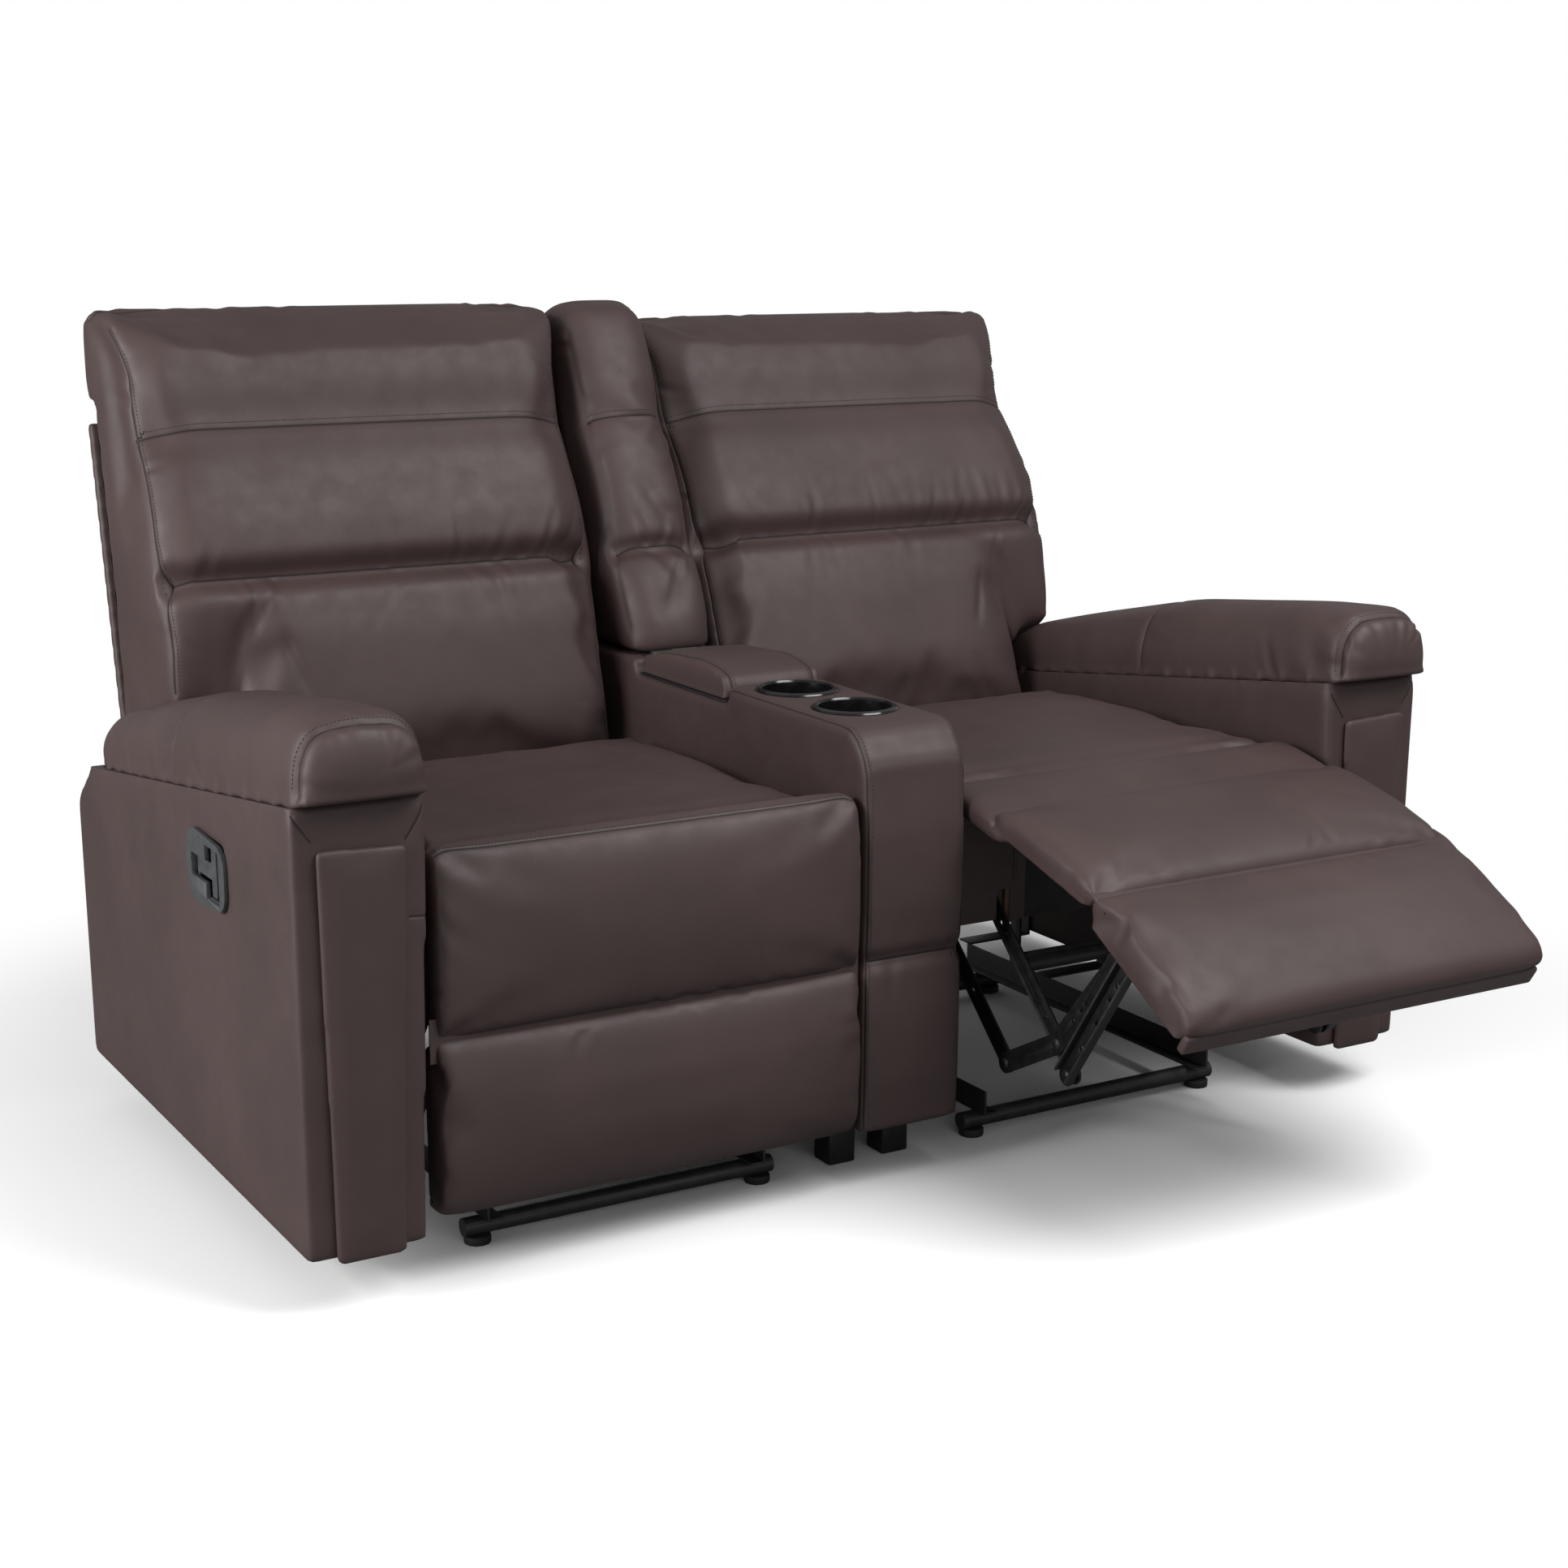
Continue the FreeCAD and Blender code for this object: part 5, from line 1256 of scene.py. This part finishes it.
@dataclass
class Backs:
    """The two back cushions, the narrow one between them and the panels behind."""

    inner: float = 0.0735
    wing: float = 0.705
    half: float = 0.068
    wing_high: float = 0.592
    wing_fall: float = 0.100
    arm_back: tuple[float, ...] = (0.366, 0.431, 0.550, 0.655, 0.690, 0.700, 0.711)
    arm_crown: tuple[float, ...] = (0.098, 0.092, 0.082, 0.072, 0.058, 0.040, 0.0)

    def sag(self, spots: Array) -> Array:
        """Lets the wing beside the arm sink until it lies on the armrest's arch."""
        share = np.clip(np.abs(spots[:, 0] - ARM_MIDDLE) / ARM_HALF, 0.0, 0.97)
        tall = np.interp(spots[:, 1], self.arm_back, self.arm_crown)
        arm = arm_plane(spots[:, 1]) + tall * (1.0 - share ** (2.0 / ARCH_WIDE)) ** (ARCH_HIGH / 2.0)
        deep = np.clip(self.wing_high - arm, 0.0, self.wing_fall)
        aside = ramp(spots[:, 0], 0.590, 0.028)
        below = ramp(spots[:, 2], 0.690, -0.116)
        wall = ramp(spots[:, 2], 0.42, 0.154)
        spots[:, 2] -= deep * aside * below * below * (3.0 - 2.0 * below) * wall
        return spots

    @staticmethod
    def tuck(spots: Array) -> Array:
        """Rounds the narrow cushion across its front and draws it in towards the lid."""
        share = ramp(np.abs(spots[:, 0]), 0.0, 0.0715)
        front = ramp(spots[:, 1] - back_plane(spots[:, 2], 0.785), 0.0, -0.07)
        low = ramp(spots[:, 2], 0.69, -0.11)
        high = ramp(spots[:, 2], 0.93, 0.08)
        spots[:, 1] += 0.028 * share ** 3 * front
        spots[:, 0] *= 1.0 - 0.10 * low * np.sqrt(low) * front
        spots[:, 2] -= 0.022 * share ** 4 * high + 0.010 * low
        return spots

    def cushion(self) -> Cushion:
        """Lower roll, upper roll and headroll, with a deep channel and a sewn headline."""
        face = [(0.812, 0.999), (0.775, 0.960), (0.746, 0.873), (0.700, 0.790), (0.668, 0.701),
                (0.644, 0.640)]
        low_face = face + [(0.610, 0.520), (0.600, 0.420)]
        wing_face = face + [(0.640, 0.560)]
        left, right = self.inner + 0.004, self.wing - 0.004
        channel = over(0.662, 0.701, self.inner, self.wing)
        headline = over(0.746, 0.873, self.inner, self.wing)
        top = over(0.868, 1.010, self.inner, self.wing)
        foot = over(0.610, 0.425, self.inner + 0.02, 0.600)
        crease = ((0.545, 0.640, 0.640), (0.520, 0.622, 0.545))
        seams = (Seam(channel, 0.021, 0.017, True, 0.0, 26, 0.002, 0.05, 0.007),
                 Seam(headline, 0.0012, 0.006, True, 0.008),
                 Seam(down(left, low_face), 0.0018, 0.007, True, 0.006, 7, 0.0016, 0.03, 0.007),
                 Seam(down(right, wing_face), 0.0018, 0.007, True, -0.006, 7, 0.0016, 0.03, 0.007),
                 Seam(top, 0.002, 0.008, True, 0.0, 12, 0.0014, 0.03, 0.008),
                 Seam(crease, 0.003, 0.007, False, fade=0.03),
                 Seam(foot, 0.0, 0.01, False, 0.0, 9, 0.0025, 0.07, 0.012))
        return Cushion("back_cushion", ("back_cushion",), "back",
                       lambda spots: spots[:, 1] > back_plane(spots[:, 2], 0.775) - 0.012, seams, BACK_LEANT,
                       voxel=0.0078, cap=0.016, room=(0.0005, 0.012, 0.008), soften=24, shape=self.sag,
                       seed=43)

    def console_cushion(self) -> Cushion:
        """The narrow fixed cushion above the lid."""
        face = [(0.805, 0.985), (0.752, 0.872), (0.700, 0.790), (0.672, 0.703), (0.630, 0.60)]
        fold = ((-0.020, 0.640, 0.600), (0.018, 0.650, 0.640), (0.030, 0.655, 0.680))
        pull = ((0.052, 0.680, 0.712), (0.010, 0.700, 0.755), (-0.012, 0.715, 0.800))
        channel = over(0.668, 0.703, -self.half, self.half)
        seams = (Seam(channel, 0.009, 0.013, True, 0.0, 7, 0.0028, 0.05, 0.008),
                 Seam(over(0.748, 0.872, -self.half, self.half), 0.0012, 0.006, True, 0.008),
                 Seam(down(-self.half + 0.004, face), 0.0015, 0.006, False, 0.0, 4, 0.0018, 0.03),
                 Seam(down(self.half - 0.004, face), 0.0015, 0.006, False, 0.0, 4, 0.0018, 0.03),
                 Seam(fold, 0.004, 0.016, False, fade=0.04),
                 Seam(pull, 0.004, 0.014, False, fade=0.04))
        return Cushion("console_back_cushion", ("console_back_cushion",), "frame",
                       lambda spots: spots[:, 1] > back_plane(spots[:, 2], 0.785) - 0.052, seams,
                       voxel=0.0055, cap=0.014, room=(0.004, 0.010, 0.008), soften=30,
                       grow_low=(0.0055, 0.006, 0.0), grow_high=(0.0055, 0.0, 0.0), shape=self.tuck,
                       fill=0.7, seed=5, paired=False)

    def rear_panel(self) -> Shell:
        """The outside back panel in leather."""
        outline = [(0.812, 0.500), (0.880, 0.875)]
        seams = tuple(Seam(down(x, outline), 0.0008, 0.006, True, stitch) for x, stitch in ((0.085, 0.006),
                                                                                         (0.690, -0.006)))
        return Shell("rear_panel", ("rear_panel",), "back", seams=seams, voxel=0.0045, soften=2, seed=111,
                     out=BACK_LEANT)

    def build(self) -> None:
        """Builds the three back cushions."""
        self.cushion().build()
        self.console_cushion().build()


@dataclass
class Arms:
    """The armrests, their front panels and the covered boards below."""

    steps: int = 24

    def arch(self, back: float, share: float, tall: float) -> tuple[Point, ...]:
        """A guide over the armrest at one distance back.

        Args:
            back: that distance.
            share: how much of the armrest's width it spans.
            tall: how high it rises over the armrest's lower edge.

        Returns:
            The guide's points.
        """
        base = arm_plane(back) + (1.0 - share) * 0.022
        points = []
        for step in range(self.steps + 1):
            angle = math.pi * (0.02 + 0.96 * step / self.steps)
            wide = math.copysign(abs(math.cos(angle)) ** ARCH_WIDE, math.cos(angle))
            high = base + tall * math.sin(angle) ** ARCH_HIGH
            points.append((ARM_MIDDLE - ARM_HALF * share * wide, back, high))
        return tuple(points)

    def pad(self) -> Cushion:
        """The long armrest: nose panel, front part and rear part."""
        outer, inner = (tuple((x, back, arm_plane(back) + 0.006) for back in (0.0, 0.2, 0.4, 0.68))
                        for x in (0.774, 0.621))
        seams = (Seam(self.arch(-0.010, 0.97, 0.080), 0.0050, 0.007, True, 0.007, 9, 0.002, 0.03, 0.007),
                 Seam(self.arch(0.386, 0.985, 0.098), 0.0018, 0.006, True, 0.0, 5, 0.0016, 0.05, 0.010),
                 Seam(outer, 0.0, 0.01, False, 0.0, 9, 0.0018, 0.06, 0.012),
                 Seam(inner, 0.0, 0.01, False, 0.0, 7, 0.0018, 0.05, 0.012))
        return Cushion("arm_pad", ("arm_pad",), "frame",
                       lambda spots: spots[:, 2] < arm_plane(spots[:, 1]) + 0.005, seams,
                       voxel=0.0062, cap=0.012, room=(0.004, 0.006, 0.006), soften=12,
                       trim=((0.7, 0.0, ARM_TOP + 0.0004), (0.0, -ARM_SLOPE, -1.0)), fill=0.8, seed=61)

    def panel(self) -> Cushion:
        """The raised panel on the arm's front."""
        return Cushion("arm_front_panel", ("arm_front_panel",), "frame", lambda spots: spots[:, 1] > -0.002,
                       voxel=0.0035, shrink=0.001, cap=0.003, room=(0.0, 0.003, 0.0), soften=3, fill=0.9,
                       seed=71)

    def shell(self) -> Shell:
        """The covered boards, with the sewn joints on the arm's front and top."""
        seams = (Seam(((0.772, 0.0, 0.556), (0.748, 0.0, 0.520)), 0.001, 0.006),
                 Seam(((0.623, 0.0, 0.552), (0.649, 0.0, 0.514)), 0.001, 0.006),
                 Seam(((0.623, 0.0, 0.430), (0.648, 0.0, 0.432)), 0.0006, 0.005),
                 Seam(((0.773, 0.006, 0.545), (0.773, 0.006, 0.30), (0.773, 0.006, 0.075)), 0.0, 0.01, False,
                      folds=8, fold_high=0.0012, fold_reach=0.09, fold_wide=0.02))
        return Shell("arm_cover", ("arm_cover",), "frame",
                     lambda spots: spots[:, 2] > arm_plane(spots[:, 1]) - 0.004, seams, voxel=0.0058,
                     soften=12, seed=81, trim=((0.7, 0.0, ARM_TOP), (0.0, ARM_SLOPE, 1.0)))

    def build(self) -> None:
        """Builds the armrests, panels and covers."""
        for piece in (self.pad(), self.panel(), self.shell()):
            piece.build()


@dataclass
class Console:
    """The console between the seats: cover, lid, cups and the cloth on its back."""

    half: float = 0.071
    top: float = 0.566
    cup_back: Place = (0.156, 0.290)

    def cover(self) -> Shell:
        """Side boards, front roll and top, under one tight cover."""
        edge = [(0.018, 0.080), (0.018, 0.280), (0.016, 0.300), (0.016, 0.500), (0.023, 0.525),
                (0.034, 0.546), (0.050, 0.560), (0.070, 0.566), (0.120, 0.566), (0.340, 0.566)]
        channel = over(0.018, 0.288, -self.half, self.half)
        seams = (Seam(channel, 0.007, 0.011, True, 0.0, 6, 0.0018, 0.03, 0.007),
                 Seam(down(-self.half + 0.002, edge), 0.0012, 0.005, True, -0.007),
                 Seam(down(self.half - 0.002, edge), 0.0012, 0.005, True, 0.007))
        return Shell("console_cover", ("console_frame", "console_front_pad", "console_deck"), seams=seams,
                     voxel=0.0048, soften=5, seed=91, paired=False, fill=0.95)

    def lid(self) -> Cushion:
        """The padded lid with a sewn border near both sides."""
        edge = [(0.348, 0.564), (0.352, 0.578), (0.366, 0.587), (0.457, 0.590), (0.565, 0.579)]
        seams = tuple(Seam(down(sign * 0.060, edge), 0.0015, 0.006, True, sign * 0.005)
                      for sign in (-1.0, 1.0))
        return Cushion("lid_pad", ("lid_pad",), "console_lid", lambda spots: spots[:, 2] < 0.560, seams,
                       voxel=0.0042, shrink=0.0015, cap=0.005, room=(0.0005, 0.001, 0.003),
                       grow_low=(0.0, 0.0, 0.0082), grow_high=(0.0, 0.004, 0.0), fill=0.85, seed=97,
                       paired=False)

    def rear_cloth(self) -> None:
        """Black cloth on the back of the console's backrest, as wide as the gap between the seats."""
        piece = Bench.slab("console_rear_cloth", (-0.0725, 0.0, 0.575), (0.0725, 0.0015, 0.972), 15)
        spots = Bench.spots(piece)
        spots[:, 1] += back_plane(spots[:, 2], 0.7625)
        Bench.place_spots(piece, spots)
        Bench.cover(piece, Side.RIGHT, CLOSED, LINING, "frame", 30.0)

    def cups(self) -> None:
        """Two spun cups with a rolled glossy rim."""
        outline = ((0.0, -0.0605), (0.036, -0.0605), (0.0425, -0.058), (0.044, -0.054), (0.044, -0.006),
                   (0.0445, 0.001), (0.0462, 0.0034), (0.0492, 0.0034), (0.0518, 0.0022), (0.053, 0.0003),
                   (0.0528, -0.0004), (0.0462, -0.0006), (0.0455, -0.004), (0.0455, -0.058), (0.044, -0.0605),
                   (0.036, -0.062), (0.0, -0.062))
        points = [(radius, 0.0, high) for radius, high in outline]
        edges = [(place, place + 1) for place in range(len(points) - 1)]
        parts = []
        for index, back in enumerate(self.cup_back):
            mesh = bpy.data.meshes.new("cup_outline")
            mesh.from_pydata(points, edges, [])
            cup = Bench.new(f"cup_{index}", mesh)
            with Bench.editing(cup):
                bpy.ops.mesh.spin(steps=64, angle=2.0 * math.pi, center=(0.0, 0.0, 0.0), axis=(0.0, 0.0, 1.0))
                bpy.ops.mesh.select_all(action="SELECT")
                bpy.ops.mesh.remove_doubles(threshold=1e-5)
                bpy.ops.mesh.normals_make_consistent(inside=False)
            cup.data.transform(Matrix.Translation((0.0, back - ORIGIN_BACK, self.top)))
            parts.append(cup)
        cups = Bench.join(parts, "cups")
        Bench.smooth(cups, 30.0)
        Bench.finish(cups, GLOSS_PLASTIC, Slot.DARK_PLASTIC, "frame")
        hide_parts("cup_holders")

    def build(self) -> None:
        """Builds the console's cover, lid, cups and rear cloth."""
        self.cover().build()
        self.lid().build()
        self.cups()
        self.rear_cloth()


# Hard pieces


@dataclass
class Fabrication:
    """A CAD node whose own shape stays: its edges are eased and it gets its finish."""

    FLAT, EDGE, SHADED = math.radians(1.0), math.radians(35.0), 40.0

    node: str
    finish: Finish
    slot: Slot
    body: str = "frame"
    ease: float = 0.0006
    holes: tuple[Point, ...] = ()
    stance: Stance = CLOSED

    def drill(self, piece: Piece) -> None:
        """Cuts the small round holes across the whole width."""
        drills = []
        turn = self.stance.matrix()
        for back, high, radius in self.holes:
            Bench.clear()
            bpy.ops.mesh.primitive_cylinder_add(vertices=16, radius=radius, depth=2.0,
                                                location=turn @ Vector((0.0, back, high)),
                                                rotation=(0.0, math.pi / 2, 0.0))
            drills.append(Bench.settle(bpy.context.object))
        drill = Bench.join(drills, "drills")
        Bench.modify(piece, "BOOLEAN", operation="DIFFERENCE", object=drill, solver="EXACT")
        bpy.data.objects.remove(drill)

    def build(self) -> None:
        """Copies the node, eases its edges and dresses it."""
        piece = Bench.merged_copy([self.node], self.node + "_dressed")
        Bench.modify(piece, "DECIMATE", decimate_type="DISSOLVE", angle_limit=self.FLAT)
        if self.holes:
            self.drill(piece)
        if self.ease:
            Bench.modify(piece, "BEVEL", width=self.ease, segments=2, limit_method="ANGLE",
                         angle_limit=self.EDGE, use_clamp_overlap=True)
        Bench.smooth(piece, self.SHADED)
        Bench.finish(piece, self.finish, self.slot, self.body)
        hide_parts(self.node)


@dataclass
class Mechanism:
    """The footrest links with their holes and rivets, and the steel base."""

    middle: float = 0.34475
    plate_out: float = 0.186
    layer: float = 0.0035
    thick: float = 0.003
    rivet_radius: float = 0.0065
    rivet_height: float = 0.42
    crank_pivot: Place = (0.10298, 0.345928)
    crank_end: Place = (0.266767, 0.114953)
    crank_joint: Place = (0.242221, 0.149570)
    rear_pivot: Place = (0.203408, 0.286839)
    rear_end: Place = (0.346236, 0.097961)
    lift_pivot: Place = (0.073823, 0.24513)
    tilt_pivot: Place = (0.132987, 0.273319)
    hinge: Place = (0.690, 0.375)
    crank_out: Stance = Stance((0.10298, 0.345928), (0.10298, 0.345928), -81.2565)
    lift_out: Stance = Stance((0.266767, 0.114953), (-0.100413, 0.148934), -22.530)
    tilt_out: Stance = Stance((0.242221, 0.149570), (-0.069931, 0.178457), -2.009)
    rear_out: Stance = Stance((0.203408, 0.286839), (0.203408, 0.286839), -83.395)

    @staticmethod
    def between(start: Place, end: Place, shares: Sequence[float], radius: float) -> tuple[Point, ...]:
        """Holes at shares of the way between two pivots."""
        return tuple((start[0] + (end[0] - start[0]) * share, start[1] + (end[1] - start[1]) * share, radius)
                     for share in shares)

    def links(self) -> None:
        """Every link of both footrests, and the brackets of the backs."""
        crank_holes = self.between(self.crank_pivot, self.crank_end, (0.14, 0.24, 0.30, 0.64, 0.72), 0.0033)
        lift_holes = self.between(self.crank_end, self.lift_pivot, (0.22, 0.42, 0.60, 0.70), 0.0036)
        tilt_holes = self.between(self.crank_joint, self.tilt_pivot, (0.30, 0.44, 0.52), 0.0033)
        rear_holes = self.between(self.rear_pivot, self.rear_end, (0.30, 0.55), 0.0033)
        for side in Side:
            for node, body, holes, stance in (
                    ("crank", "crank_arm", crank_holes, self.crank_out),
                    ("lift_link", "lift_arm", lift_holes, self.lift_out),
                    ("tilt_link", "tilt_arm", tilt_holes, self.tilt_out),
                    ("rear_link", "rear_arm", rear_holes, self.rear_out),
                    ("foot_bracket", "footrest", (), CLOSED),
                    ("back_bracket", "back", (), CLOSED)):
                Fabrication(side.named(node), STEEL, Slot.DARK_STEEL, side.named(body), 0.0005, holes,
                            stance.on(side)).build()

    def rivet(self, name: str, place: Place, step: int, side: Side, stance: Stance, body: str) -> None:
        """Domed rivet heads on the outer face of a link, at both sides of one seat.

        Args:
            name: the pivot's name.
            place: the pivot's drawn place.
            step: the layer of the outermost link there.
            side: which seat.
            stance: how the carrying link stands.
            body: the body that carries the heads.
        """
        heads = []
        for sign in (-1.0, 1.0):
            Bench.clear()
            bpy.ops.mesh.primitive_uv_sphere_add(segments=16, ring_count=8, radius=self.rivet_radius)
            head = bpy.context.object
            with Bench.editing(head):
                bpy.ops.mesh.bisect(plane_co=(0, 0, 0), plane_no=(0, 0, -1), use_fill=True, clear_outer=True)
            head.scale = (1.0, 1.0, self.rivet_height)
            head.rotation_euler = (0.0, sign * math.pi / 2, 0.0)
            spot = stance.matrix() @ Vector((0.0, place[0], place[1]))
            face = self.plate_out + (step + 1) * self.layer + self.thick
            head.location = (side.sign * self.middle + sign * face, spot.y, spot.z)
            heads.append(Bench.settle(head))
        made = Bench.join(heads, side.named(name + "_rivets"))
        Bench.smooth(made, 50.0)
        Bench.finish(made, STEEL, Slot.DARK_STEEL, body)

    def rivets(self) -> None:
        """The heads of every pivot."""
        for side in Side:
            for name, place, step, stance, body in (
                    ("crank_pivot", self.crank_pivot, 0, CLOSED, "frame"),
                    ("rear_pivot", self.rear_pivot, 0, CLOSED, "frame"),
                    ("back_hinge", self.hinge, 0, CLOSED, "frame"),
                    ("crank_end", self.crank_end, 3, self.crank_out, "crank_arm"),
                    ("crank_joint", self.crank_joint, 1, self.crank_out, "crank_arm"),
                    ("lift_pivot", self.lift_pivot, 3, FOOT_OUT, "footrest"),
                    ("rear_end", self.rear_end, 1, self.tilt_out, "tilt_arm")):
                self.rivet(name, place, step, side, stance.on(side), side.carrier(body))

    def base(self) -> None:
        """Rails, tubes, plates and their brackets."""
        plate_holes = tuple((0.16 + 0.055 * index, 0.345, 0.0042) for index in range(8))
        for node, ease, holes in (("base_rails", 0.0005, ()), ("base_tubes", 0.0, ()),
                                  ("side_plates", 0.0005, plate_holes), ("joining_brackets", 0.0005, ())):
            Fabrication(node, STEEL, Slot.DARK_STEEL, ease=ease, holes=holes).build()
        Fabrication("base_glides", RUBBER, Slot.BLACK_RUBBER, ease=0.0012).build()
        Fabrication("console_feet", BLACK_PLASTIC, Slot.DARK_PLASTIC, ease=0.003).build()

    def build(self) -> None:
        """Builds the linkage and the base."""
        self.links()
        self.rivets()
        self.base()


@dataclass
class Woodwork:
    """The boards, rails, straps, bin and hinge that the leather hides."""

    def build(self) -> None:
        """Dresses the hidden pieces."""
        for side in Side:
            for node, finish, body in (("arm_frame", PLYWOOD, "frame"), ("seat_frame", PLYWOOD, "frame"),
                                       ("back_frame", PLYWOOD, "back"), ("bridge_board", LINING, "bridge"),
                                       ("foot_board", LINING, "footrest")):
                Fabrication(side.named(node), finish, Slot.TIMBER, side.carrier(body), 0.001).build()
        Fabrication("console_back_frame", PLYWOOD, Slot.TIMBER, ease=0.001).build()
        Fabrication("lid_board", LINING, Slot.TIMBER, "console_lid", 0.0004).build()
        Fabrication("seat_straps", STRAP, Slot.WEBBING).build()
        Fabrication("storage_bin", BLACK_PLASTIC, Slot.DARK_PLASTIC).build()
        Fabrication("lid_hinge", STEEL, Slot.BRIGHT_STEEL, ease=0.0003).build()


@dataclass
class Handles:
    """The release handles in the arms' outer sides."""

    def build(self) -> None:
        """Dresses plate and pull on both sides."""
        for side in Side:
            for node, body, ease in (("handle_plate", "frame", 0.0016), ("handle_lever", "handle", 0.0012)):
                Fabrication(side.named(node), HANDLE_PLASTIC, Slot.DARK_PLASTIC, side.carrier(body),
                            ease).build()


# Studio


@dataclass
class Studio:
    """A white studio with wide soft lamps, and the camera."""

    eye: Point = (-1.5909, -2.6206, 1.1441)
    yaw: float = 30.459
    dip: float = 14.579
    roll: float = 0.18
    lens: float = 57.06
    sensor: float = 36.0
    shift: Place = (0.0122, 0.0480)
    shadow_reach: Place = (0.95, 1.6)
    fill: float = 0.34
    floor_size: float = 14.0
    floor_shade: Colour = (0.22, 0.22, 0.22, 1.0)
    floor_seen: Colour = (0.94, 0.94, 0.94, 1.0)

    def camera(self) -> None:
        """The camera at the photograph's place."""
        data = bpy.data.cameras.new("camera")
        data.sensor_width = self.sensor
        data.lens = self.lens
        data.shift_x, data.shift_y = self.shift
        camera = Bench.new("camera", data)
        yaw, dip = math.radians(self.yaw), math.radians(self.dip)
        ahead = Vector((math.sin(yaw) * math.cos(dip), math.cos(yaw) * math.cos(dip), -math.sin(dip)))
        turn = ahead.to_track_quat("-Z", "Y").to_matrix() @ Matrix.Rotation(math.radians(self.roll), 3, "Z")
        camera.matrix_world = Matrix.Translation(self.eye) @ turn.to_4x4()
        bpy.context.scene.camera = camera

    def lamps(self) -> None:
        """A broad lamp on the left, one over the opened footrest and a weak one in front."""
        for name, place, aim, size, power in (
                ("left", (-3.6, -0.3, 1.5), (0.0, 0.1, 0.5), (2.0, 2.2), 160.0),
                ("footrest", (0.9, -1.7, 2.6), (0.4, -0.6, 0.4), (1.8, 1.6), 80.0),
                ("front", (-0.6, -4.4, 1.8), (0.0, 0.0, 0.5), (3.0, 2.0), 20.0)):
            data = bpy.data.lights.new(name, "AREA")
            data.shape = "RECTANGLE"
            data.size, data.size_y = size
            data.energy = power
            lamp = Bench.new(name, data)
            turn = (Vector(aim) - Vector(place)).to_track_quat("-Z", "Y").to_matrix().to_4x4()
            lamp.matrix_world = Matrix.Translation(place) @ turn

    def floor(self) -> None:
        """A pale floor that keeps the shadow and is white to the camera elsewhere."""
        Bench.clear()
        bpy.ops.mesh.primitive_plane_add(size=self.floor_size, location=(0.0, 0.0, 0.0))
        floor = bpy.context.object
        floor.name = "studio_floor"
        made = bpy.data.materials.new("studio floor")
        made.use_nodes = True
        tree = made.node_tree
        shader = tree.nodes["Principled BSDF"]
        spot = add_node(tree, "TexCoord").outputs["Object"]
        far = add_node(tree, "VectorMath", {0: spot}, operation="LENGTH").outputs["Value"]
        reach = {"Value": far, "From Min": self.shadow_reach[0], "From Max": self.shadow_reach[1]}
        edge = add_node(tree, "MapRange", reach, interpolation_type="SMOOTHSTEP")
        seen = add_node(tree, "LightPath").outputs["Is Camera Ray"]
        plug(tree, shader, {"Base Color": mixed(tree, seen, self.floor_shade, self.floor_seen),
                            "Roughness": 0.9, "Specular IOR Level": 0.1})
        outside = add_node(tree, "Math", {0: edge.outputs["Result"], 1: seen}, operation="MULTIPLY")
        white = add_node(tree, "Emission")
        both = add_node(tree, "MixShader", {0: outside.outputs[0], 1: shader.outputs[0], 2: white.outputs[0]})
        plug(tree, tree.nodes["Material Output"], {"Surface": both.outputs[0]})
        floor.data.materials.append(made)

    def world(self) -> None:
        """White to the camera, also through glass, and a soft grey fill for the rest."""
        world = bpy.data.worlds.new("studio")
        bpy.context.scene.world = world
        world.use_nodes = True
        tree = world.node_tree
        tree.nodes.clear()
        rays = add_node(tree, "LightPath").outputs
        white = add_node(tree, "Background", {"Color": (1.0, 1.0, 1.0, 1.0)})
        fill = add_node(tree, "Background", {"Color": (1.0, 1.0, 1.0, 1.0), "Strength": self.fill})
        seen = add_node(tree, "Math", {0: rays["Is Camera Ray"], 1: rays["Is Transmission Ray"]},
                        operation="MAXIMUM")
        both = add_node(tree, "MixShader", {0: seen.outputs[0], 1: fill.outputs[0], 2: white.outputs[0]})
        add_node(tree, "OutputWorld", {"Surface": both.outputs[0]})

    def build(self) -> None:
        """Sets up floor, lamps, world and camera."""
        self.floor()
        self.lamps()
        self.world()
        self.camera()
        bpy.context.scene.view_settings.view_transform = "Standard"


def main() -> None:
    """Builds the loveseat piece by piece, then the studio."""
    logging.basicConfig(level=logging.INFO, format="%(message)s")
    Seats().build()
    Facings().build()
    Backs().build()
    Arms().build()
    Console().build()
    Backs().rear_panel().build()
    Handles().build()
    Mechanism().build()
    Woodwork().build()
    Studio().build()


if __name__ == "__main__":
    main()
